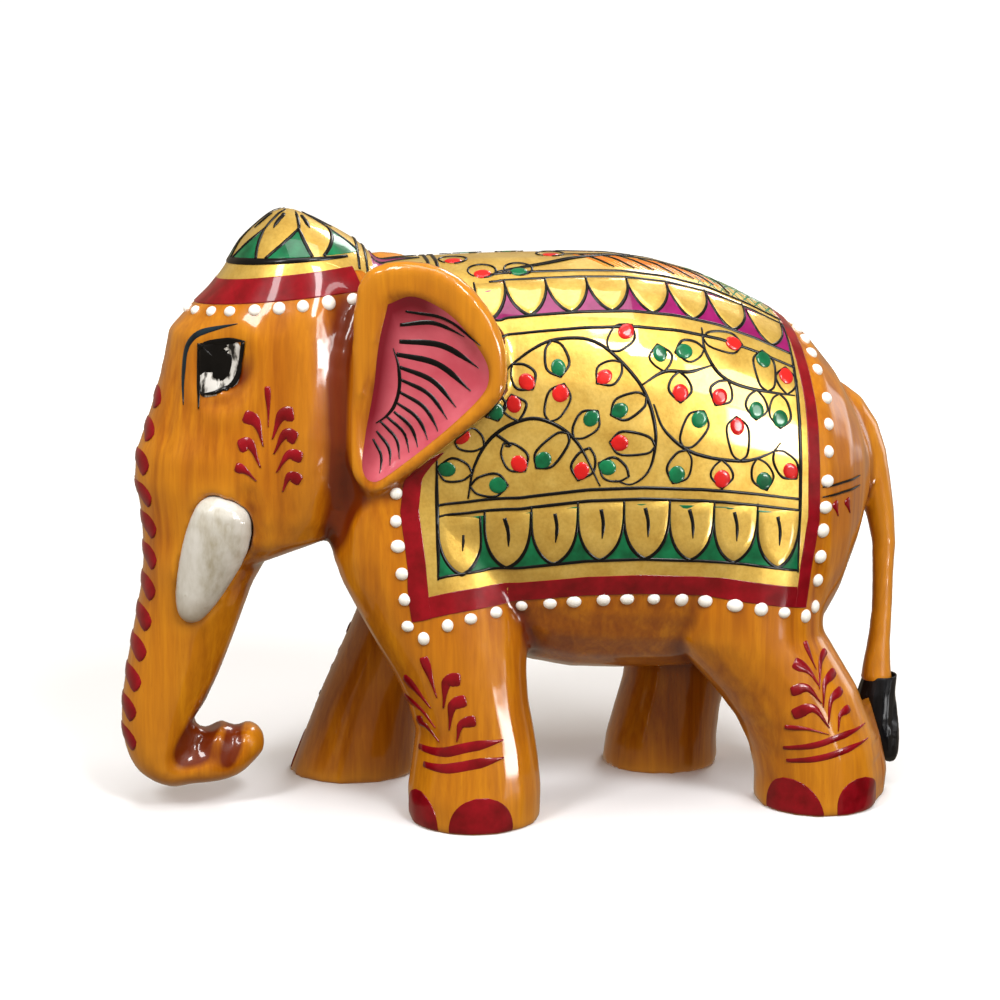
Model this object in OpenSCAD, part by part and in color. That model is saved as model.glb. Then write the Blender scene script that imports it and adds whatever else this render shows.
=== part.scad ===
// Carved wooden elephant: one solid block with let-in tusks and eyes, coats of gold leaf and
// lacquer, and raised dots of white relief paint.
// +Z is up, the head looks along -Y, and the elephant's left side is +X. All sizes are millimetres.

/* [Overall] */
// Length from the trunk to the tail
overall_l = 157.5; // [130:0.5:190]
// Height from the soles to the crown
overall_h = 118; // [100:1:140]
// Width across the flanks
flank_w = 62; // [54:1:72]

/* [Coats] */
// Thickness of the gold leaf and lacquer coats
coat_t = 0.35; // [0.3:0.05:0.6]
// Width of the crimson border round the saddle cloth
border_w = 4.2; // [3:0.1:6]

/* [Raised dots] */
// Diameter of one raised dot
dot_d = 2.7; // [2:0.1:3.4]
// Distance from one dot to the next
dot_pitch = 5.1; // [4.5:0.1:7]

/* [Hidden] */

// The tables below are drawn for a figure of these sizes, and the driving sizes stretch them.
drawn_l = 157.5;
drawn_h = 118;
drawn_flank_w = 62;
mid_y = 2.8;
stretch = [flank_w / drawn_flank_w, overall_l / drawn_l, overall_h / drawn_h];
left = 1;
right = -1;
// Longer and higher than anything on the figure, for cutting shapes
wide = 90;
high = 130;
// The least share of a section's size that is left at the very end of a rounded end
tip_share = 0.02;

// Torso: y, top z, bottom z, half width
torso = [
    [-42, 102, 60, 17],
    [-28, 107.2, 50, 21.5],
    [-12, 108.6, 36, 26],
    [6, 109, 27.5, 29.3],
    [24, 108.4, 25.5, 31],
    [38, 105.2, 25.5, 30.8],
    [50, 99.8, 26, 29.5],
    [60, 94.2, 27.5, 27.5],
    [68, 88.5, 37, 24.5],
    [76, 80, 51, 19]];
torso_cap_front = 14;
torso_cap_rear = 20;
torso_square = 0.84;

// Head and trunk: z, front y, rear y, half width, egg (how much narrower the front is)
head = [
    [3.5, -69.5, -61, 6, 0],
    [9, -74.2, -62, 7.8, 0],
    [17, -76, -61, 8.6, 0],
    [27, -75, -56.5, 9.4, 0],
    [37, -73, -52.5, 10.4, 0],
    [45, -71.4, -49.5, 12, 0.05],
    [50, -70.8, -47, 14, 0.1],
    [54, -70.8, -33, 16.5, 0.15],
    [60, -71, -27, 18.5, 0.2],
    [69, -72.1, -21, 20, 0.25],
    [79, -68.8, -17, 20.5, 0.28],
    [89, -65.8, -16, 20, 0.2],
    [96, -64.2, -17, 19, 0.12],
    [102, -57.8, -19, 17.5, 0.05],
    [108, -53, -24.5, 15, 0],
    [113, -50.8, -29, 12, 0],
    [118, -48, -36, 8.5, 0]];
head_cap_top = 9;
head_cap_bottom = 4;

// Legs: z, front y, rear y, centre x, half width
leg_front_left = [
    [0, -20.8, 5.2, 17.5, 12.6],
    [8, -21, 5.2, 17.5, 12.4],
    [17, -19.3, 4, 17.3, 11.6],
    [27, -22.3, 2.5, 16.8, 12],
    [39, -28.8, 3.5, 15, 13],
    [53, -35, 4.5, 13, 13.5],
    [71, -35, 4, 11, 12.6]];
leg_front_right = [
    [0, -42, -14.8, -17.5, 12.6],
    [8, -38.5, -14.3, -17.5, 12.2],
    [17, -35, -12.5, -17.3, 11.4],
    [27, -30.5, -7, -16.8, 12],
    [39, -26.5, -1, -15, 13],
    [53, -30, 3, -13, 13.5],
    [71, -33, 4, -11, 12.5]];
leg_hind_left = [
    [0, 49, 74.2, 17.5, 12.6],
    [8, 48.8, 75, 17.5, 12.6],
    [17, 45.3, 71.8, 17.5, 12.6],
    [26, 38.5, 68, 17.2, 13],
    [36, 29.5, 62, 16.5, 14],
    [50, 27, 64.5, 14.5, 15.5],
    [71, 30, 68, 12, 15]];
leg_hind_right = [
    [0, 24, 48.8, -13, 11.6],
    [8, 25.5, 48.6, -13, 11.4],
    [17, 28.5, 50.5, -13.8, 11.2],
    [26, 29.5, 54, -15, 12],
    [38, 28, 59, -15.5, 13.5],
    [52, 27, 63, -14, 15],
    [71, 30, 67, -12, 15]];
// Foot edge: the height that is rounded, how far into it the sole lies, and how far it draws in
foot_round = 2;
foot_start = 0.8;
foot_tuck = 0.8;

// Tubes: step along the tube, centre x, y and z, half width, half depth
trunk_hook = [
    [0, 0, -69, 13, 7.2, 6],
    [1, 0, -66, 9.2, 7.2, 4.9],
    [2, 0, -61, 8.2, 6.8, 4.1],
    [3, 0, -55.5, 9.2, 6.4, 4.4],
    [4, 0, -52, 12, 5.8, 4.2]];
tail = [
    [0, 0, 62.5, 78, 7.5, 7.5],
    [1, 0, 70.5, 74, 6.5, 6.2],
    [2, 0.5, 75.2, 67, 5, 4.6],
    [3, 1.5, 77.6, 59, 3.8, 3.3],
    [4, 3, 79, 51, 2.8, 2.5],
    [5, 5, 78.5, 42.5, 2.4, 2.1],
    [6, 7, 77.8, 34, 2.4, 2.1],
    [7, 9, 76.6, 27, 2.8, 2.5],
    [8, 10, 76.2, 19, 4, 3.6],
    [9, 10.5, 77.8, 11, 3.6, 3],
    [10, 10.5, 79.8, 4.5, 1.2, 1.2]];
tube_cap = 0.35;
tuft_top_z = 23;
tusk = [
    [0, 14.2, -54.5, 65, 2.2, 2.5],
    [1, 15, -55.2, 62, 4, 5.4],
    [2, 14.2, -56.8, 56, 4.2, 6.2],
    [3, 12.8, -59, 50, 3.9, 5.4],
    [4, 11.6, -61.2, 44, 3.2, 3.9],
    [5, 11, -62.6, 39.6, 1.6, 1.8]];

// The trunk tip's two rolls: y, z, radius
trunk_rolls = [[-57.4, 12.4, 4.4], [-51.9, 12, 4.1]];
roll_widen = 1.35;

// Ear: a flared plate hinged at ear_hinge, with its outline and its dish drawn as (distance, z)
ear_hinge = [22.8, -32];
ear_flare = 20;
ear_rim = [
    [1.5, 105], [5, 108.8], [11.1, 109.8], [17.7, 108.5], [22.9, 105], [27, 99.6],
    [29.2, 93.7], [29.4, 87.2], [26.8, 82.7], [20.3, 77.3], [13.6, 71.8], [7.2, 67.2],
    [2.4, 65.2], [-0.5, 70], [-1, 80], [-0.2, 94]];
ear_dish = [
    [7.2, 101.5], [9, 103], [12.5, 103.1], [16, 101.8], [19.8, 99.2], [22.8, 95.9],
    [25.3, 92.6], [26.5, 89], [25, 85.3], [20.6, 80.8], [15.2, 76.3], [9.8, 72.2],
    [4.4, 69], [2.2, 71.5], [1.4, 80], [5, 91.5]];
ear_centre = [13, 88];
ear_drop_right = 2.3;
// Rings of the plate and of the dish: mix of rim and dish outline, share of full size, depth
ear_plate_rings = [[0, 0.7, 15], [0, 0.93, 6.5], [0, 1, 2.4], [0, 0.985, 0.8], [0, 0.95, 0]];
ear_dish_rings = [[0.85, 1, 0], [1, 1, 0.8], [1, 0.86, 1.9], [1, 0.4, 2.4]];
ear_mouth_ring = [0.7, 1, -4];

// Eye: y, z and turn of the eye, its radius along each axis, and how deep it is set
eye_spot = [-55.2, 89.4];
eye_size = [1.4, 4.9, 4.8];
eye_sink = 0.6;

// Saddle cloth in side view, from its lower front corner round the rear to the neck: y, z
saddle = [
    [-20.6, 42], [-13.8, 43.3], [1, 45], [12, 46.1], [22.4, 46.3], [34.2, 45.6], [45.4, 43.9],
    [55.6, 42.1], [56.5, 54], [57.6, 66], [58, 74], [57.4, 83], [56, 92], [55, 130],
    [-14, 130], [-16, 100], [-23, 67], [-21.3, 50]];
// Where the gold runs on over the neck with no border
crest = [[-18, 98], [-6, 98], [-6, 130], [-18, 130]];
// The row of raised dots on a flank, from the ear round to the rump: y, z
dot_line = [
    [-24.3, 66], [-23.4, 55], [-22.3, 46], [-21, 39.6], [-14, 41.7], [1, 43.5], [12, 44.6],
    [22.4, 44.8], [34.2, 44.1], [45.4, 42.4], [56.6, 40], [57.9, 54], [59.1, 66], [59.5, 76],
    [59, 85]];
rear_dots_y = 58.5;
rear_dots_turns = [-36:9:36];
head_dots_turns = [-109:14.5:109];
head_dots_drop = 1.5;
dot_sink = 0.15;

// The bare chest between the front legs
chest_w = 30;
chest_top_z = 60;

// Head band in side view, its lower and upper edges: y, z
band_low = [[-76, 99], [-30.5, 103.2]];
band_high = [[-76, 103], [-30.5, 107.2]];
// Nape strip: its front edge's y, its lowest z, and its rear edge's y, z
nape_front_y = -30.5;
nape_low_z = 102.5;
nape_rear = [[-14, 112], [-16, 100]];

// Toenails: how far each is turned from the front towards the outer side, and their half size
nails_front = [-45, 22, 90];
nails_hind = [-25, 45, 115];
nail_r = 6.2;
nail_low_z = 0.6;

// ---------- numbers along a table ----------

function row_below(table, key, i = 0) =
    i >= len(table) - 2 || key < table[i + 1][0] ? i : row_below(table, key, i + 1);

function slope(table, i) =
    let (a = table[max(i - 1, 0)], b = table[min(i + 1, len(table) - 1)])
    (b - a) / (b[0] - a[0]);

// A smooth curve through the table's rows, read at one key
function read(table, key) =
    let (
        i = row_below(table, key),
        a = table[i],
        b = table[i + 1],
        h = b[0] - a[0],
        t = min(max((key - a[0]) / h, 0), 1),
        t2 = t * t,
        t3 = t2 * t)
    a * (2 * t3 - 3 * t2 + 1) + slope(table, i) * h * (t3 - 2 * t2 + t)
    + b * (3 * t2 - 2 * t3) + slope(table, i + 1) * h * (t3 - t2);

// A smooth closed curve through points, read at t from 0 to the number of points
function round_curve(points, t) =
    let (
        n = len(points),
        i = floor(t),
        f = t - i,
        a = points[(i + n - 1) % n],
        b = points[i % n],
        c = points[(i + 1) % n],
        d = points[(i + 2) % n])
    b + f * ((c - a) / 2 + f * (a - 2.5 * b + 2 * c - d / 2 + f * (1.5 * (b - c) + (d - a) / 2)));

function first_key(table) = table[0][0];
function last_key(table) = table[len(table) - 1][0];

// How much a section shrinks at distance d from an end that is rounded over a length c
function cap(d, c) = d >= c ? 1 : max(tip_share, sqrt(max(0, 1 - pow((c - d) / c, 2))));

function blunt(v, p) = sign(v) * pow(abs(v), p);
function place(p) = [p[0] * stretch[0], (p[1] - mid_y) * stretch[1], p[2] * stretch[2]];
function eased(i, n) = (1 - cos(180 * i / n)) / 2;
function unit(v) = v / norm(v);

// ---------- surfaces, each grown outwards by g ----------

// A point on the torso at y, turned a degrees from the top towards the left
function torso_at(y, a, g) =
    let (
        s = read(torso, y),
        c = cap(y - first_key(torso), torso_cap_front) * cap(last_key(torso) - y, torso_cap_rear),
        mid = (s[1] + s[2]) / 2)
    place([
        (s[3] * c + g) * blunt(sin(a), torso_square),
        y,
        mid + ((s[1] - s[2]) / 2 * c + g) * blunt(cos(a), torso_square)]);

// A point on the head or trunk at z, turned a degrees from the front towards the left
function head_at(z, a, g) =
    let (
        s = read(head, z),
        c = cap(z - first_key(head), head_cap_bottom) * cap(last_key(head) - z, head_cap_top),
        mid = (s[1] + s[2]) / 2)
    place([
        (s[3] * c + g) * sin(a) * (1 - s[4] * cos(a)),
        mid + ((s[2] - s[1]) / 2 * c + g) * -cos(a),
        z + g * (last_key(head) - z < head_cap_top ? (z - last_key(head)) / head_cap_top + 1 : 0)]);

// A point on a leg at z, turned a degrees from the front towards the left
function leg_at(leg, z, a, g) =
    let (
        s = read(leg, z),
        grown = g - foot_tuck * (1 - cap(z + foot_start, foot_round)),
        mid = (s[1] + s[2]) / 2)
    place([s[3] + (s[4] + grown) * sin(a), mid + ((s[2] - s[1]) / 2 + grown) * -cos(a), z]);

// A point on a tube's skin at step k, turned a degrees
function tube_at(path, k, a, g) =
    let (
        s = read(path, k),
        ahead = read(path, min(k + 0.05, last_key(path))),
        behind = read(path, max(k - 0.05, 0)),
        along = unit([ahead[1] - behind[1], ahead[2] - behind[2], ahead[3] - behind[3]]),
        side = unit(cross([0, along[1], along[2]], [1, 0, 0])),
        c = cap(k, tube_cap) * cap(last_key(path) - k, tube_cap))
    place([s[1] + (s[4] * c + g) * cos(a), s[2], s[3]] + (s[5] * c + g) * sin(a) * side);

// A point of the ear at (distance, z) p, d below the plate's face
function ear_at(side, p, d) =
    place([
        side * (ear_hinge[0] + p[0] * sin(ear_flare) - d * cos(ear_flare)),
        ear_hinge[1] + p[0] * cos(ear_flare) + d * sin(ear_flare),
        p[1] - (side == right ? ear_drop_right : 0)]);

// How far the torso, a leg and the whole flank reach sideways at y, z
function torso_reach(y, z) =
    let (
        s = read(torso, y),
        c = cap(y - first_key(torso), torso_cap_front) * cap(last_key(torso) - y, torso_cap_rear),
        t = abs((z - (s[1] + s[2]) / 2) / ((s[1] - s[2]) / 2 * c)))
    s[3] * c * pow(max(0, 1 - pow(t, 2 / torso_square)), torso_square / 2);

function leg_reach(leg, y, z) =
    let (s = read(leg, z), t = (y - (s[1] + s[2]) / 2) / ((s[2] - s[1]) / 2))
    z > last_key(leg) || abs(t) > 1 ? 0 : abs(s[3]) + s[4] * sqrt(1 - t * t);

function flank_reach(side, y, z) = max(concat(
    [torso_reach(y, z)],
    [for (leg = side == left ? [leg_front_left, leg_hind_left] : [leg_front_right, leg_hind_right])
        leg_reach(leg, y, z)]));

function flank_at(side, y, z) = place([side * flank_reach(side, y, z), y, z]);

// The point at distance d along a line of points
function along_line(line, d, i = 0) =
    let (step = norm(line[i + 1] - line[i]))
    d <= step || i >= len(line) - 2
        ? line[i] + (line[i + 1] - line[i]) * d / step
        : along_line(line, d - step, i + 1);

function line_length(line, i = 0) =
    i >= len(line) - 1 ? 0 : norm(line[i + 1] - line[i]) + line_length(line, i + 1);

// ---------- solids ----------

// Closes a stack of rings, each a list of the same number of points, into a solid
module loft(rings) {
    n = len(rings[0]);
    last = len(rings) - 1;
    polyhedron(
        points = [for (r = rings) for (p = r) p],
        faces = concat(
            [[for (i = [0:n - 1]) i]],
            [for (k = [0:last - 1]) for (i = [0:n - 1]) for (f = [0, 1])
                let (a = k * n + i, b = k * n + (i + 1) % n, c = a + n, d = b + n)
                f == 0 ? [a, c, b] : [b, c, d]],
            [[for (i = [n - 1:-1:0]) last * n + i]]),
        convexity = 6);
}

module torso_solid(g = 0, rings = 21, around = 32) {
    lo = first_key(torso);
    hi = last_key(torso);
    loft([for (k = [0:rings]) [for (i = [0:around - 1])
        torso_at(lo + (hi - lo) * eased(k, rings), 360 * i / around, g)]]);
}

module head_solid(g = 0, rings = 34, around = 26) {
    lo = first_key(head);
    hi = last_key(head);
    loft([for (k = [0:rings]) [for (i = [0:around - 1])
        head_at(lo + (hi - lo) * eased(k, rings), 360 * i / around, g)]]);
}

module leg_solid(leg, g = 0, rings = 12, around = 20) {
    loft([for (k = [0:rings]) [for (i = [0:around - 1])
        leg_at(leg, last_key(leg) * k / rings, 360 * i / around, g)]]);
}

module tube_solid(path, g = 0, rings = 20, around = 14) {
    loft([for (k = [0:rings]) [for (i = [0:around - 1])
        tube_at(path, last_key(path) * eased(k, rings), 360 * i / around, g)]]);
}

// A ring round the ear: mix runs from the rim at 0 to the dish's edge at 1, size shrinks it
function ear_ring(side, mix, size, d) =
    let (n = len(ear_rim), steps = n * 2)
    [for (i = [0:steps - 1])
        let (
            t = i * n / steps,
            p = round_curve(ear_rim, t) * (1 - mix) + round_curve(ear_dish, t) * mix)
        ear_at(side, ear_centre + (p - ear_centre) * size, d)];

function ear_rings(side, rows, lift = 0) = [for (r = rows) ear_ring(side, r[0], r[1], r[2] - lift)];
function faced(side, rings) = side == left ? rings : [for (i = [len(rings) - 1:-1:0]) rings[i]];

module ear_plate(side) {
    loft(faced(-side, ear_rings(side, concat(ear_plate_rings, [ear_dish_rings[0]]))));
}

module ear_hollow(side) {
    loft(faced(side, ear_rings(side, concat([ear_mouth_ring], ear_dish_rings))));
}

module ear_skin(side) {
    floor_rows = [for (i = [1:3]) ear_dish_rings[i]];
    down = ear_rings(side, floor_rows);
    up = ear_rings(side, floor_rows, coat_t);
    loft(faced(side, concat([up[2], up[1], up[0]], down)));
}

module mirrored(side) {
    mirror([side == left ? 0 : 1, 0, 0]) children();
}

module tusk_solid() {
    tube_solid(tusk, rings = 16, around = 20);
}

module eye_solid() {
    around = [for (a = [0:2:178]) head_at(eye_spot[1], a, 0)];
    y = (eye_spot[0] - mid_y) * stretch[1];
    i = len([for (p = around) if (p[1] < y) p]);
    out = unit(cross(around[i + 1] - around[i - 1], [0, 0, 1]));
    translate(around[i] - eye_sink * out)
        rotate([0, 0, atan2(out[1], out[0])]) scale(eye_size) sphere(1, $fn = 24);
}

module leg_solids(g = 0) {
    leg_solid(leg_front_left, g);
    leg_solid(leg_front_right, g);
    leg_solid(leg_hind_left, g);
    leg_solid(leg_hind_right, g);
}

module trunk_tip() {
    tube_solid(trunk_hook, rings = 12, around = 18);
    for (r = trunk_rolls)
        translate(place([0, r[0], r[1]])) scale([roll_widen, 1, 1]) sphere(r[2], $fn = 22);
}

module whole_animal() {
    difference() {
        union() {
            torso_solid();
            head_solid();
            leg_solids();
            trunk_tip();
            tube_solid(tail);
            ear_plate(left);
            ear_plate(right);
        }
        ear_hollow(left);
        ear_hollow(right);
        for (side = [left, right]) mirrored(side) {
            tusk_solid();
            eye_solid();
        }
    }
}

// What lies within coat_t outside the animal, and inside the side-view outline given as a child
module coat(on_head = false) {
    resize([0, 0, 0]) difference() {
        intersection() {
            union() {
                if (on_head) head_solid(coat_t);
                torso_solid(coat_t);
                if (!on_head) leg_solids(coat_t);
            }
            rotate([90, 0, 90]) linear_extrude(2 * wide, center = true) children();
        }
        whole_animal();
        translate([-chest_w / 2, -wide, 0]) cube([chest_w, wide, chest_top_z]);
    }
}

module saddle_inside() {
    offset(delta = -border_w) side_outline(saddle);
    intersection() {
        side_outline(saddle);
        side_outline(crest);
    }
}

module side_outline(points) {
    polygon([for (p = points) [(p[0] - mid_y) * stretch[1], p[1] * stretch[2]]]);
}

// A raised dot standing on the skin at a point, given two directions along the skin there
module dot(point, across, up) {
    out = unit(cross(across, up));
    translate(point - dot_sink * out)
        rotate([0, acos(out[2]), atan2(out[1], out[0])])
            difference() {
                sphere(d = dot_d, $fn = 28);
                translate([0, 0, -dot_d]) cube(2 * dot_d, center = true);
            }
}

module flank_dots(side) {
    length = line_length(dot_line);
    count = round(length / dot_pitch);
    for (i = [0:count]) {
        p = along_line(dot_line, length * i / count);
        here = flank_at(side, p[0], p[1]);
        dot(here, side * (flank_at(side, p[0] + 1, p[1]) - here),
            flank_at(side, p[0], p[1] + 1) - here);
    }
}

// ---------- the pieces ----------

module carved_body() {
    color("peru") resize([0, 0, 0]) whole_animal();
}

module tusk_piece(side) {
    color("ivory") mirrored(side) tusk_solid();
}

module eye_piece(side) {
    color("dimgray") mirrored(side) eye_solid();
}

module ear_lining(side) {
    color("palevioletred") ear_skin(side);
}

module saddle_gold() {
    color("khaki") coat() saddle_inside();
}

module saddle_border() {
    color("crimson") coat() difference() {
        side_outline(saddle);
        saddle_inside();
    }
}

module saddle_dots(side) {
    color("white") flank_dots(side);
}

module saddle_dots_rear() {
    color("white") for (a = rear_dots_turns) {
        here = torso_at(rear_dots_y, a, 0);
        dot(here, torso_at(rear_dots_y + 1, a, 0) - here, here - torso_at(rear_dots_y, a + 1, 0));
    }
}

module head_cap() {
    color("gold") coat(true) side_outline(concat(band_high, [[band_high[1][0], high], [-76, high]]));
}

module head_band() {
    color("darkred") coat(true)
        side_outline([band_low[0], band_low[1], band_high[1], band_high[0]]);
}

module head_dots() {
    fall = (band_low[1][1] - band_low[0][1]) / (band_low[1][0] - band_low[0][0]);
    color("white") for (a = head_dots_turns) {
        near = head_at(band_low[0][1], a, 0)[1] / stretch[1] + mid_y;
        z = band_low[0][1] + fall * (near - band_low[0][0]) - head_dots_drop;
        here = head_at(z, a, 0);
        dot(here, head_at(z, a + 1, 0) - here, head_at(z + 1, a, 0) - here);
    }
}

module nape_strip() {
    color("goldenrod") coat(true)
        side_outline(concat(nape_rear, [[nape_front_y, nape_low_z], [nape_front_y, high], [-14, high]]));
}

module toenails(leg, side, turns) {
    foot = read(leg, 0);
    mid = place([foot[3], (foot[1] + foot[2]) / 2, nail_low_z]);
    color("darkred") resize([0, 0, 0]) difference() {
        intersection() {
            leg_solid(leg, coat_t);
            for (a = turns)
                translate(mid) rotate([0, 0, side * a - 90]) rotate([90, 0, 90])
                    linear_extrude(wide) intersection() {
                        circle(nail_r, $fn = 28);
                        translate([-nail_r, 0]) square(2 * nail_r);
                    }
        }
        whole_animal();
    }
}

module tail_tuft() {
    color("black") resize([0, 0, 0]) difference() {
        intersection() {
            tube_solid(tail, coat_t);
            translate([-wide, 0, 0]) cube([2 * wide, 2 * wide, tuft_top_z]);
        }
        whole_animal();
    }
}

carved_body();
tusk_piece(left);  // tusk_left
tusk_piece(right);  // tusk_right
eye_piece(left);  // eye_left
eye_piece(right);  // eye_right
ear_lining(left);  // ear_lining_left
ear_lining(right);  // ear_lining_right
saddle_gold();
saddle_border();
saddle_dots(left);  // saddle_dots_left
saddle_dots(right);  // saddle_dots_right
saddle_dots_rear();
head_cap();
head_band();
head_dots();
nape_strip();
toenails(leg_front_left, left, nails_front);  // toenails_front_left
toenails(leg_front_right, right, nails_front);  // toenails_front_right
toenails(leg_hind_left, left, nails_hind);  // toenails_hind_left
toenails(leg_hind_right, right, nails_hind);  // toenails_hind_right
tail_tuft();
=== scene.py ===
import math

import bpy
import numpy as np
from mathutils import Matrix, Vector
from mathutils.bvhtree import BVHTree


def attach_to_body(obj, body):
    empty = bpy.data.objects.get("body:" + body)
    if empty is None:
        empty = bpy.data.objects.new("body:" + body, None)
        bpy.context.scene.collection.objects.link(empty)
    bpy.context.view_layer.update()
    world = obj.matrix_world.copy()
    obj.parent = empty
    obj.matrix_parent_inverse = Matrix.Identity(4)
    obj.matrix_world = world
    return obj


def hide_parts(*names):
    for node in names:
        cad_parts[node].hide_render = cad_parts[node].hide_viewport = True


# A carved wooden elephant under clear lacquer, with gold leaf, lacquer colours and brushed lines.
# It looks along -Y and its left side is +X. Lengths are millimetres until a mesh is made.
MM = 0.001
LEFT = 1
RIGHT = -1
SIDES = {"left": LEFT, "right": RIGHT}

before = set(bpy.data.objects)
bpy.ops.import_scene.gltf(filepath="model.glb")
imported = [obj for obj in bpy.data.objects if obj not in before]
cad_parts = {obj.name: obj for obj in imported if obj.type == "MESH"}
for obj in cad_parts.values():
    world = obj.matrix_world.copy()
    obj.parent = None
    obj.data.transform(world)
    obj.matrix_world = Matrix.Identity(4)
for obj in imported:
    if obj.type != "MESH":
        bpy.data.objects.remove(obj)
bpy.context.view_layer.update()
RANDOM = np.random.default_rng(7)


# ---------- vectors and lines ----------

def vec(*numbers):
    return np.array(numbers, float)


UP = vec(0, 0, 1)


def unit(v):
    return v / np.maximum(np.linalg.norm(v, axis=-1, keepdims=True), 1e-9)


def smooth_line(points, step):
    """A smooth line through the points, with a point about every step."""
    p = np.array(points, float)
    p = np.vstack([2 * p[0] - p[1], p, 2 * p[-1] - p[-2]])
    out = []
    for i in range(1, len(p) - 2):
        a, b, c, d = p[i - 1:i + 3]
        count = max(2, math.ceil(np.linalg.norm(c - b) / step))
        for f in np.arange(count) / count:
            curve = 2 * b + f * (c - a) + f * f * (2 * a - 5 * b + 4 * c - d)
            out.append((curve + f ** 3 * (3 * b - 3 * c + d - a)) / 2)
    return np.array(out + [p[-2]])


def turned(points, degrees):
    c, s = math.cos(math.radians(degrees)), math.sin(math.radians(degrees))
    return np.asarray(points, float) @ np.array([[c, s], [-s, c]])


# ---------- meshes ----------

def make_object(name, points, faces, material):
    mesh = bpy.data.meshes.new(name)
    mesh.from_pydata((np.asarray(points) * MM).tolist(), [], faces)
    mesh.validate()
    mesh.shade_smooth()
    mesh.materials.append(material)
    made = bpy.data.objects.new(name, mesh)
    bpy.context.scene.collection.objects.link(made)
    return made


def register(made, slot, *nodes):
    """Makes a piece part of the figure and hides the CAD nodes that it stands for. The slot, its
    finish, is not used.
    """
    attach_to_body(made, "root")
    if nodes:
        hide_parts(*nodes)


def add_attribute(made, name, values):
    attribute = made.data.attributes.new(name, "FLOAT", "POINT")
    attribute.data.foreach_set("value", np.asarray(values, np.float32))


def grid_faces(rows, columns, closed=False):
    """Quads between the rows of a grid of points."""
    faces = []
    for r in range(rows - 1):
        for c in range(columns if closed else columns - 1):
            a = r * columns + c
            b = r * columns + (c + 1) % columns
            faces.append((a, b, b + columns, a + columns))
    return faces


def disc_faces(rings, count):
    """Faces between closed rings of points, and from the last ring to the one point after it."""
    last = (rings - 1) * count
    return grid_faces(rings, count, closed=True) + [
        (last + i, last + (i + 1) % count, last + count) for i in range(count)]


def facing(faces, outwards):
    return faces if outwards else [f[::-1] for f in faces]


def remeshed(node, voxel):
    """A CAD node's shape with even faces: its points in millimetres, its faces and its edges."""
    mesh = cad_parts[node].data.copy()
    scratch = bpy.data.objects.new("scratch", mesh)
    bpy.context.scene.collection.objects.link(scratch)
    weld = scratch.modifiers.new("weld", "WELD")
    weld.merge_threshold = 0.002 * MM
    remesh = scratch.modifiers.new("remesh", "REMESH")
    remesh.mode = "VOXEL"
    remesh.voxel_size = voxel * MM
    remesh.adaptivity = 0
    bpy.context.view_layer.update()
    made = scratch.evaluated_get(bpy.context.evaluated_depsgraph_get()).to_mesh()
    points = np.empty(len(made.vertices) * 3)
    made.vertices.foreach_get("co", points)
    faces = [tuple(p.vertices) for p in made.polygons]
    edges = np.empty(len(made.edges) * 2, int)
    made.edges.foreach_get("vertices", edges)
    bpy.data.objects.remove(scratch)
    return points.reshape(-1, 3) / MM, faces, edges.reshape(-1, 2)


def neighbour_mean(values, edges):
    total = np.zeros_like(values)
    for here, there in ((0, 1), (1, 0)):
        for k in range(values.shape[1]):
            total[:, k] += np.bincount(edges[:, here], values[edges[:, there], k], len(values))
    return total / np.bincount(edges.ravel(), minlength=len(values))[:, None]


def relax(points, edges, rounds, share=1.0, back=-0.57):
    """Rounds edges: each round moves points in towards their neighbours, then back out."""
    for _ in range(rounds):
        for step in (0.55, back):
            points = points + share * step * (neighbour_mean(points, edges) - points)
    return points


def normals_of(points, faces):
    corner = np.array(faces)
    across = np.cross(points[corner[:, 2]] - points[corner[:, 0]],
                      points[corner[:, 3]] - points[corner[:, 1]])
    total = np.zeros_like(points)
    for k in range(4):
        for axis in range(3):
            total[:, axis] += np.bincount(corner[:, k], across[:, axis], len(points))
    return unit(total)


# ---------- the carved block ----------

VOXEL = 0.84
# Rounds of smoothing: the whole block, then again once the creases are cut, then the creases and
# the trunk tip alone. The last is the blur that hollows and ridges are told apart by, for the wood's
# painted shade and painted light.
BLOCK_ROUNDS = 26
CUT_ROUNDS = 6
CREASE_ROUNDS = 14
TIP_ROUNDS = 22
BLUR_ROUNDS = 40
# The tail lies behind TAIL_Y, and the ears lie outside EAR_X, above EAR_Z and ahead of EAR_Y
TAIL_Y = 68
EAR_X, EAR_Y, EAR_Z = 21.5, -4, 60
# How much less the thin tail and ears are rounded, and over what distance that fades in
THIN_KEEP = 0.6
FADE = 3
# The tail below TUFT_TOP shrinks towards its middle line, to lie inside the tuft: z, x, y
TUFT_TOP = 22.4
TAIL_SHRINK = 0.45
TAIL_CORE = np.array([(4.5, 10.5, 77.0), (11, 10.5, 75.0), (19, 10, 73.4), (27, 9, 73.8)])
# The eye socket's middle and its half sizes
EYE_SPOT = vec(15, -58, 89.4)
EYE_SIZE = vec(5, 5.6, 6)
# The middle and size of the curled trunk tip, which is rubbed smooth
TRUNK_TIP = vec(0, -61, 12)
TRUNK_TIP_SIZE = 10
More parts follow.
